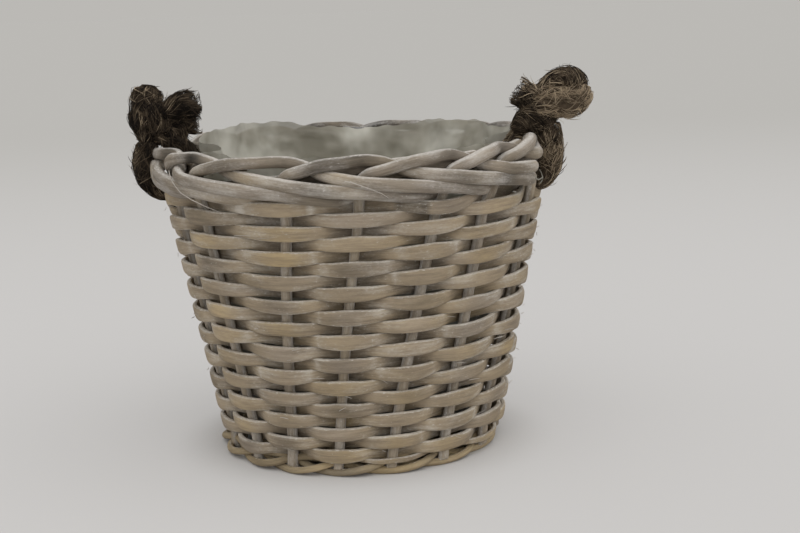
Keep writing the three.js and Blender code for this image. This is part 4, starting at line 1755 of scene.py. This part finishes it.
@dataclass
class RopeHandle:
    """A length of jute rope passed round the border and knotted above it."""

    wall: Wall
    gap: int
    body: Body
    side: str
    ring: RopeRun
    knot: list[RopeRun]
    seed: int
    diameter: float = 0.0124
    pivot_out: float = 0.05
    pivot_up: float = 0.17
    core_sides: int = 20
    # Painted shade deep among the fibres, as the core's share of the run's lightness.
    core_painted_shade: float = 0.5
    plies: int = 3
    ply_depth: float = 0.1
    fibres_each_mm2: float = 0.9
    fibre_steps: int = 7
    fibre_sizes: tuple[float, float] = (0.00012, 0.00026)
    fibres_in_lock: int = 13
    lock_width: float = 0.0017
    lock_scatter: float = 20.0
    lock_round: float = 0.0007
    stray_from: float = 0.66
    stray_lift: float = 0.0006
    loose_from: float = 0.95
    lie: float = 0.0004
    lock_before: float = 0.003
    lock_least: float = 0.002
    start_scatter: float = 0.0012
    least_radius: float = 0.003
    end_reach: float = 0.4
    core_end_rise: float = 9.0
    core_end_least: float = 0.05
    lock_reaches: tuple[float, float] = (0.007, 0.014)
    lock_lifts: tuple[float, float] = (-0.0003, 0.0009)
    lock_curl: float = 0.3
    lock_shade: float = 0.24
    brush_past: float = 0.0032
    past_end: float = 0.0006
    reach_shares: tuple[float, float] = (0.7, 1.1)
    scatter: float = 0.12
    stray_scatter: float = 0.5
    stray_shade: float = 0.1
    loose_shares: tuple[float, float] = (0.4, 1.3)
    loose_lifts: tuple[float, float] = (0.0006, 0.0045)
    loose_curl: float = 0.8
    depths: tuple[float, float] = (-0.0006, 0.0002)
    fibre_shade: float = 0.15
    narrow_end: float = 0.35

    @property
    def radius(self) -> float:
        """The rope's radius."""
        return self.diameter / 2

    def _pivot(self) -> tuple[Array, Array]:
        """Finds the middle of the ring.

        Returns:
            Its place, and rows for its out, along and up directions.
        """
        wall = self.wall
        degrees = np.array(wall.gap_angle(self.gap))
        out = wall.outward(degrees)
        origin = out * (wall.rim_circle + self.pivot_out * wall.strand)
        origin = origin + np.array([0, 0, wall.kink_height + self.pivot_up * wall.strand])
        return origin, np.stack([out, wall.along(degrees), np.array(UP)])

    def build(self, finish: bpy.types.Material) -> None:
        """Builds the twisted core and its coat of fibres.

        Args:
            finish: The rope's material.
        """
        origin, axes = self._pivot()
        rng = np.random.default_rng(self.seed)
        cores: list[Array] = []
        faces: list[list[int]] = []
        core_shades: list[Array] = []
        coats: list[Array] = []
        shades: list[Array] = []
        for run in (self.ring, *self.knot):
            path = run.path(origin, axes, self.radius)
            points = self._core(path, run)
            start = sum(len(core) for core in cores)
            tube = tube_faces(len(path.centres), self.core_sides)
            faces.extend([corner + start for corner in face] for face in tube)
            cores.append(points)
            # The core is darker than its fibres: painted shade deep among them.
            core_shades.append(np.full(len(points), self.core_painted_shade * run.light))
            fibres = self._fibres(rng, path, run)
            coats.append(self._coat(path, run, fibres))
            shades.append(fibres.shade)
        points = np.vstack(cores)
        values = {"shade": np.concatenate(core_shades)}
        node = f"rope_handle_{self.side}"
        core = mesh_object(f"rope_{self.side}_core", points, faces, points / MM, values, finish)
        place_piece(core, self.body, Slot.ROPE, node)
        lines, shade = np.vstack(coats), np.concatenate(shades)
        coat = thin_tubes(f"rope_{self.side}_fibres", lines, shade, self.fibre_sizes, finish)
        place_piece(coat, self.body, Slot.ROPE, node)

    def _surface(self, radii: Array, theta: Array, run_at: Array, lay: float) -> Array:
        """Gives the twisted surface's radius at an angle and a place along the run.

        Args:
            radii: The rope's radius there.
            theta: The angles round the rope.
            run_at: How far along the run.
            lay: The lean of the plies in degrees.

        Returns:
            The radii of the twisted surface.
        """
        twist = math.tan(math.radians(lay)) * run_at / self.radius
        plies = self.ply_depth * np.abs(np.cos(self.plies / 2 * (theta - twist)))
        return radii * (1 - self.ply_depth + plies)

    def _core(self, path: RopePath, run: RopeRun) -> Array:
        """Lays out one run's solid core.

        Args:
            path: The run's centreline.
            run: The run itself.

        Returns:
            Its points, ring by ring.
        """
        theta = np.linspace(0, 2 * math.pi, self.core_sides, endpoint=False)[None, :]
        reach = self._surface(path.radii[:, None], theta, path.length[:, None], run.lay)
        share = np.linspace(0, 1, len(path.centres))
        ends = np.minimum(share, 1 - share) * self.core_end_rise
        reach = reach * (np.clip(ends, self.core_end_least, 1) ** 0.5)[:, None]
        across = path.first[:, None, :] * np.cos(theta)[..., None]
        across = across + path.second[:, None, :] * np.sin(theta)[..., None]
        return (path.centres[:, None, :] + across * reach[..., None]).reshape(-1, 3)

    def _fibres(self, rng: np.random.Generator, path: RopePath, run: RopeRun) -> Fibres:
        """Draws the fibres of one run in locks, most of them close to it and a few loose.

        Args:
            rng: The seeded source of chance.
            path: The run's centreline.
            run: The run itself.

        Returns:
            The fibres.
        """
        whole = path.length[-1]
        count = int(path.area / MM**2 * self.fibres_each_mm2)
        locks = max(2, count // self.fibres_in_lock)
        lock = rng.integers(0, locks, count)
        lock_start = rng.uniform(-self.lock_before, whole - self.lock_least, locks)
        lock_reach = rng.uniform(*self.lock_reaches, locks)
        lock_angle = np.radians(run.lay + rng.normal(0, self.lock_scatter, locks))
        lock_theta = rng.uniform(0, 2 * math.pi, locks)
        lock_curl = rng.normal(0, self.lock_curl, locks)
        lock_lift = rng.uniform(*self.lock_lifts, locks)
        lock_shade = run.light + rng.normal(0, self.lock_shade, locks)
        lock_end = whole + rng.uniform(0.0, self.brush_past, locks)
        beside = rng.normal(0, self.lock_width / 2, count)
        start = lock_start[lock] + rng.normal(0, self.start_scatter, count)
        reach = lock_reach[lock] * rng.uniform(*self.reach_shares, count)
        kind = rng.uniform(0, 1, count)
        loose = kind > self.loose_from
        stray = kind > self.stray_from
        scatter = np.where(stray, self.stray_scatter, self.scatter)
        angle = lock_angle[lock] + rng.normal(0, 1, count) * scatter
        reach = np.where(loose, reach * rng.uniform(*self.loose_shares, count), reach)
        lift = np.where(loose, rng.uniform(*self.loose_lifts, count), self.lie)
        own_curl = rng.uniform(-self.loose_curl, self.loose_curl, count)
        sunk = rng.uniform(*self.depths, count) + self.stray_lift * stray
        shade = lock_shade[lock] + rng.normal(0, self.fibre_shade, count) + self.stray_shade * stray
        rounded = self.lock_round * np.clip(1 - (beside / self.lock_width) ** 2, 0, 1)
        return Fibres(
            start=start[:, None],
            end=lock_end[lock][:, None],
            theta=(lock_theta[lock] + beside / self.radius)[:, None],
            along=(reach * np.cos(angle))[:, None],
            across=(reach * np.sin(angle))[:, None],
            height=(sunk + rounded)[:, None],
            arch=lock_lift[lock][:, None],
            lift=lift[:, None],
            curl=(lock_curl[lock] + np.where(loose, own_curl, 0))[:, None],
            shade=np.clip(shade, 0.0, 1.0),
        )

    def _coat(self, path: RopePath, run: RopeRun, fibres: Fibres) -> Array:
        """Lays the fibres over one run.

        Args:
            path: The run's centreline.
            run: The run itself.
            fibres: Its fibres.

        Returns:
            Their points, fibres by steps by three.
        """
        whole = path.length[-1]
        share = np.linspace(0, 1, self.fibre_steps)[None, :]
        where = fibres.start + share * fibres.along
        if run.brush:
            where = np.minimum(where, fibres.end + self.past_end * share)
        else:
            where = np.clip(where, -self.past_end, whole + self.past_end)
        local = np.interp(where, path.length, path.radii)
        theta = fibres.theta + fibres.curl * share**2
        theta = theta + share * fibres.across / np.maximum(local, self.least_radius)
        height = fibres.height + fibres.lift * share**2 + fibres.arch * np.sin(math.pi * share)
        surface = self._surface(local, theta, where, run.lay)
        inside = np.clip(where, 0, whole)
        if not run.brush:
            ends = np.minimum(inside, whole - inside) / (self.end_reach * self.radius)
            surface = surface * np.minimum(self.narrow_end + (1 - self.narrow_end) * ends, 1)
        middle, one, two = path.at(inside)
        way = one * np.cos(theta)[..., None] + two * np.sin(theta)[..., None]
        points = middle + way * (surface + height)[..., None]
        before = unit(path.centres[2] - path.centres[0])
        after = unit(path.centres[-1] - path.centres[-3])
        points = points + after * np.maximum(where - whole, 0)[..., None]
        return points + before * np.minimum(where, 0)[..., None]


LEFT_RING = RopeRun(
    [
        (1.2, 0.0, 2.6, 0.8), (0.3, 0.0, 2.7, 0.95), (-0.5, 0.0, 2.3, 0.95), (-1.2, 0.0, 1.5, 0.95),
        (-2.1, 0.0, 0.4, 0.95), (-2.4, 0.0, -0.9, 0.95), (-1.8, 0.0, -2.0, 0.95),
        (-0.9, 0.0, -2.55, 0.95), (0.3, 0.0, -2.6, 1.0), (1.2, 0.0, -2.2, 1.05), (1.8, 0.0, -1.5, 1.1),
        (2.02, 0.0, -0.6, 1.12), (2.0, 0.0, 0.3, 1.05), (1.85, 0.0, 1.2, 0.92), (1.78, 0.0, 2.2, 0.8),
    ],
    lay=20,
    light=0.22,
)
RIGHT_RING = RopeRun(
    [
        (0.4, 0.0, 2.7, 1.0), (-0.7, 0.0, 2.7, 1.0), (-1.3, 0.0, 2.0, 0.9), (-1.95, 0.0, 1.1, 0.9),
        (-2.6, 0.0, 0.0, 0.9), (-2.9, 0.0, -1.2, 0.9), (-2.5, 0.0, -2.3, 0.9), (-1.5, 0.0, -3.0, 0.88),
        (-0.5, 0.0, -3.15, 0.9), (0.3, 0.0, -2.85, 0.95), (0.85, 0.0, -2.15, 1.0),
        (1.1, 0.0, -1.2, 1.05), (1.05, 0.0, -0.2, 1.15), (0.85, 0.0, 0.8, 1.3), (0.8, 0.0, 1.7, 1.3),
        (0.6, 0.0, 2.4, 1.15),
    ],
    lay=20,
    light=0.48,
)
LEFT_KNOT = [
    RopeRun(
        [
            (2.2, -0.2, 2.2, 0.55), (1.7, -0.5, 2.3, 0.7), (0.9, -0.7, 2.7, 1.05),
            (-0.1, -0.6, 3.0, 1.25), (-1.1, -0.4, 2.6, 1.05), (-1.6, -0.2, 2.0, 0.8),
        ],
        lay=35,
        light=0.38,
    ),
    RopeRun(
        [
            (1.78, 0.0, 1.9, 0.78), (1.8, 0.0, 2.5, 0.8), (1.8, 0.0, 3.1, 1.1), (1.8, 0.0, 3.8, 1.45),
            (1.72, 0.0, 4.8, 1.52), (1.6, 0.0, 5.8, 1.42), (1.42, 0.0, 6.7, 1.2), (1.3, 0.0, 7.35, 0.9),
        ],
        lay=14,
        light=0.27,
    ),
    RopeRun(
        [
            (1.3, 0.7, 5.9, 0.8), (1.0, 0.8, 4.9, 1.0), (0.6, 0.5, 3.9, 1.05), (0.2, 0.2, 3.0, 1.0),
        ],
        lay=20,
        light=0.2,
    ),
    RopeRun(
        [
            (0.4, -0.2, 4.0, 0.9), (-0.7, -0.2, 4.7, 1.1), (-1.8, -0.1, 5.3, 1.2),
            (-2.9, 0.0, 5.4, 1.15),
        ],
        lay=10,
        light=0.2,
        brush=True,
    ),
    RopeRun(
        [
            (0.4, -0.6, 3.6, 0.95), (-0.8, -0.8, 3.8, 1.2), (-1.9, -0.9, 3.9, 1.25),
            (-3.05, -0.9, 3.85, 1.2),
        ],
        lay=14,
        light=0.16,
        brush=True,
    ),
]
RIGHT_KNOT = [
    RopeRun(
        [
            (-2.0, -0.4, 1.5, 0.7), (-1.75, -0.5, 2.2, 0.85), (-1.1, -0.6, 2.7, 1.15),
            (-0.3, -0.7, 2.9, 1.4), (0.6, -0.4, 2.8, 1.4), (1.05, -0.1, 2.3, 1.2),
        ],
        lay=50,
        light=0.34,
    ),
    # The bight's front leg: lighter than the rest, partly painted light where it faces the light.
    RopeRun(
        [
            (-0.3, -0.6, 3.5, 1.0), (0.8, -0.9, 4.1, 1.2), (2.0, -1.0, 4.35, 1.3),
            (3.1, -0.8, 4.45, 1.3), (3.9, -0.4, 5.0, 1.2), (4.1, 0.1, 5.6, 1.1),
        ],
        lay=24,
        light=0.74,
    ),
    # The bight's back leg: darker, painted shade where the front leg shades it.
    RopeRun(
        [
            (4.0, 0.0, 5.3, 1.05), (3.6, 0.3, 6.2, 1.15), (2.5, 0.5, 6.6, 1.1), (1.5, 0.4, 6.05, 1.05),
            (0.6, 0.3, 5.1, 1.0), (0.1, 0.2, 4.1, 1.0),
        ],
        lay=24,
        light=0.42,
    ),
    RopeRun(
        [
            (0.0, -0.1, 3.5, 0.95), (-0.5, 0.0, 4.3, 1.1), (-1.1, 0.1, 5.0, 1.2),
            (-1.85, 0.1, 5.5, 1.2),
        ],
        lay=12,
        light=0.26,
        brush=True,
    ),
]


@dataclass
class LooseEnds:
    """Fibres that have split off the reeds, and torn bits of the film's edge."""

    wall: Wall
    steps: int = 7
    fibre_sizes: tuple[float, float] = (0.0003, 0.0004)
    fibre_paint: float = 1.4
    fibre_shades: tuple[float, float] = (1.1, 0.9)
    scrap_sizes: tuple[float, float] = (0.0003, 0.00045)
    scrap_shade: float = 0.9
    splinters: int = 110
    splinter_seed: int = 61
    splinter_sizes: tuple[float, float] = (0.00012, 0.00026)
    splinter_paint: float = 1.0
    splinter_lengths: tuple[float, float] = (0.06, 0.22)
    splinter_heights: tuple[float, float] = (0.018, 0.156)
    splinter_rise: float = 0.0012
    splinter_out: float = 0.0076
    splinter_lifts: tuple[float, float] = (0.0002, 0.0026)
    splinter_shades: tuple[float, float] = (0.2, 1.0)
    long_fibres: tuple[tuple[WallPoint, ...], ...] = (
        (
            (-2.1, 0.1836, 0.0128), (-2.08, 0.181, 0.0134), (-2.04, 0.177, 0.0134),
            (-1.95, 0.1713, 0.013), (-1.84, 0.1676, 0.0122), (-1.7, 0.1641, 0.0112),
            (-1.56, 0.1611, 0.0104),
        ),
        (
            (-0.19, 0.1802, 0.0124), (-0.11, 0.1795, 0.0128), (-0.03, 0.1782, 0.013),
            (0.05, 0.1765, 0.0132), (0.13, 0.1748, 0.0132), (0.21, 0.1728, 0.013), (0.29, 0.17, 0.013),
        ),
    )
    scraps: tuple[tuple[WallPoint, ...], ...] = (
        (
            (2.46, 0.171, 0.0085), (2.5, 0.17, 0.0095), (2.54, 0.1688, 0.01), (2.58, 0.1682, 0.0102),
            (2.62, 0.168, 0.0104), (2.67, 0.1682, 0.0104), (2.72, 0.1685, 0.01),
        ),
        (
            (2.7, 0.1716, 0.009), (2.71, 0.1704, 0.0098), (2.71, 0.1692, 0.0102), (2.71, 0.168, 0.0104),
            (2.7, 0.167, 0.0104), (2.68, 0.1662, 0.0102), (2.65, 0.1655, 0.01),
        ),
    )

    def _on_wall(self, places: Array) -> Array:
        """Turns place, height and distance out into points."""
        angle = self.wall.angle_at(places[..., 0], places[..., 1])
        return self.wall.point(angle, places[..., 1], places[..., 2])

    def build(self, reed: bpy.types.Material, film: bpy.types.Material) -> None:
        """Builds the fibres, the splinters and the scraps.

        Args:
            reed: The finish of the fibres.
            film: The finish of the scraps.
        """
        long = self._on_wall(np.array(self.long_fibres))
        shade = np.array(self.fibre_shades)
        piece = thin_tubes("long_reed_fibres", long, shade, self.fibre_sizes, reed, self.fibre_paint)
        place_piece(piece, Body.BASKET, Slot.STAKE, "stake_06", "stake_08")
        rng = np.random.default_rng(self.splinter_seed)
        count = self.splinters
        along = np.linspace(0, 1, self.steps)[None, :]
        half = self.wall.stake_count / 2
        place = rng.uniform(0.5 - half, 0.5 + half, count)[:, None]
        place = place + along * rng.uniform(*self.splinter_lengths, count)[:, None]
        height = rng.uniform(*self.splinter_heights, count)[:, None]
        height = height + along * rng.normal(0, self.splinter_rise, count)[:, None]
        out = self.splinter_out + along**1.5 * rng.uniform(*self.splinter_lifts, count)[:, None]
        points = self._on_wall(np.stack([place, height, out], axis=-1))
        shade = rng.uniform(*self.splinter_shades, count)
        piece = thin_tubes("reed_splinters", points, shade, self.splinter_sizes, reed, self.splinter_paint)
        place_piece(piece, Body.BASKET, Slot.WEAVER, "weaver_10")
        torn = self._on_wall(np.array(self.scraps))
        shade = np.full(len(torn), self.scrap_shade)
        piece = thin_tubes("film_scraps", torn, shade, self.scrap_sizes, film)
        place_piece(piece, Body.BASKET, Slot.LINER, "film_liner")


@dataclass(frozen=True)
class Lamp:
    """A broad, soft lamp that shines along a direction."""

    name: str
    strength: float
    spread: float
    way: tuple[float, float, float]

    def build(self) -> None:
        """Hangs the lamp."""
        data = bpy.data.lights.new(self.name, "SUN")
        data.energy = self.strength
        data.angle = math.radians(self.spread)
        lamp = bpy.data.objects.new(self.name, data)
        lamp.rotation_mode = "QUATERNION"
        lamp.rotation_quaternion = Vector(self.way).to_track_quat("-Z", "Y")
        bpy.context.scene.collection.objects.link(lamp)


@dataclass(frozen=True)
class Studio:
    """The pale floor, the soft lamps and the camera."""

    camera_at: tuple[float, float, float] = (0.0127, -0.900, 0.2733)
    yaw: float = 0.860
    pitch: float = 10.429
    roll: float = -1.896
    focal_pixels: float = 1463.5
    picture_width: int = 800
    sensor_width: float = 36.0
    lamps: tuple[Lamp, ...] = (
        Lamp("key lamp", 1.35, 90, (-0.45, 0.55, -1.0)),
        Lamp("fill lamp", 0.75, 120, (0.8, 1.0, -0.75)),
    )
    floor_size: float = 30.0
    floor_sides: int = 96
    floor_colour: Colour = (204, 202, 200)
    floor_roughness: float = 0.9
    # The far floor and the horizon are darker, a painted shade for the light that falls off towards the
    # back.
    far_painted_shade_colour: Colour = (187, 185, 181)
    far_from: float = 0.05
    far_to: float = 2.4
    round_from: float = 2.0
    round_to: float = 30.0
    shade_from: float = 0.078
    shade_to: float = 0.125
    plain_part: float = 0.45
    sky_colour: Colour = (240, 240, 240)
    sky_strength: float = 0.6

    def build(self) -> None:
        """Builds the floor, the lamps, the world and the camera."""
        self._floor()
        for lamp in self.lamps:
            lamp.build()
        self._world()
        self._camera()
        bpy.context.scene.view_settings.view_transform = "Standard"

    def _floor(self) -> None:
        """Builds the round floor, which partly glows with its own colour where it is seen."""
        sides, size = self.floor_sides, self.floor_size
        bpy.ops.mesh.primitive_circle_add(vertices=sides, radius=size, fill_type="NGON")
        floor = bpy.context.active_object
        floor.name = "floor"
        material, graph, shader = new_material("Pale floor")
        seen = graph.seen()
        place = graph.node("ShaderNodeNewGeometry").outputs["Position"]
        apart = graph.node("ShaderNodeSeparateXYZ", {0: place}).outputs
        across = graph.math("MULTIPLY", apart["X"], apart["X"])
        deep = graph.math("MULTIPLY", apart["Y"], apart["Y"])
        around = graph.math("ADD", across, deep)
        behind = graph.remap(apart["Y"], self.far_from, self.far_to)
        far = graph.math("MAXIMUM", behind, graph.remap(around, self.round_from, self.round_to))
        clear = graph.remap(around, self.shade_from**2, self.shade_to**2)
        glow = graph.math("MULTIPLY", graph.math("MULTIPLY", seen, clear), self.plain_part)
        # Painted shade: the floor's colour darkens towards the back and the far edge.
        colour = graph.blend(far, linear(self.floor_colour), linear(self.far_painted_shade_colour))
        lit = graph.dim(colour, graph.math("SUBTRACT", 1.0, glow))
        graph.feed(
            shader,
            {
                "Base Color": lit,
                "Emission Color": colour,
                "Emission Strength": glow,
                "Roughness": self.floor_roughness,
                "Specular IOR Level": 0.0,
            },
        )
        floor.data.materials.append(material)

    def _world(self) -> None:
        """Sets an even pale surround, which shows the far floor's darker colour, a painted shade, where it
        is seen.
        """
        world = bpy.data.worlds.new("Pale surround")
        bpy.context.scene.world = world
        world.use_nodes = True
        graph = Graph(world.node_tree)
        seen = graph.seen()
        colour = graph.blend(seen, linear(self.sky_colour), linear(self.far_painted_shade_colour))
        rest = graph.math("MULTIPLY", seen, 1 - self.sky_strength)
        strength = graph.math("ADD", self.sky_strength, rest)
        graph.feed(world.node_tree.nodes["Background"], {"Color": colour, "Strength": strength})

    def _camera(self) -> None:
        """Places the camera where the picture was taken from."""
        yaw, pitch, roll = (math.radians(a) for a in (self.yaw, self.pitch, self.roll))
        level = math.cos(pitch)
        forward = Vector((math.sin(yaw) * level, math.cos(yaw) * level, -math.sin(pitch)))
        right = forward.cross(Vector(UP)).normalized()
        up = right.cross(forward)
        turned_right = math.cos(roll) * right + math.sin(roll) * up
        turned_up = -math.sin(roll) * right + math.cos(roll) * up
        data = bpy.data.cameras.new("picture camera")
        data.sensor_width = self.sensor_width
        data.lens = self.focal_pixels / self.picture_width * self.sensor_width
        camera = bpy.data.objects.new("picture camera", data)
        axes = Matrix((turned_right, turned_up, -forward)).transposed().to_4x4()
        axes.translation = Vector(self.camera_at)
        camera.matrix_world = axes
        bpy.context.scene.collection.objects.link(camera)
        bpy.context.scene.camera = camera


def write_size() -> None:
    """Updates the view layer.
    """
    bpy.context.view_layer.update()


def main() -> None:
    """Builds the basket's sub-assemblies in order, then the studio."""
    logging.basicConfig(level=logging.INFO, format="%(message)s")
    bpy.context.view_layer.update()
    groups = ShaderGroups()
    reeds = {slot: finish.build(groups) for slot, finish in REEDS.items()}
    film = FILM.build(groups)
    rope = JUTE.build()
    wall = Wall()
    foot = Foot(wall)
    base = Base(wall, foot)
    weavers = Weavers(wall, foot)
    Stakes(wall).build(reeds[Slot.STAKE])
    weavers.build(reeds[Slot.WEAVER])
    foot.build(reeds[Slot.FOOT])
    base.build(reeds[Slot.BASE])
    FilmLiner(wall, base, weavers).build(film)
    LooseEnds(wall).build(reeds[Slot.STAKE], film)
    left, right = wall.rope_gaps
    RopeHandle(wall, left, Body.LEFT, "left", LEFT_RING, LEFT_KNOT, seed=11).build(rope)
    RopeHandle(wall, right, Body.RIGHT, "right", RIGHT_RING, RIGHT_KNOT, seed=12).build(rope)
    Studio().build()
    write_size()


if __name__ == "__main__":
    main()
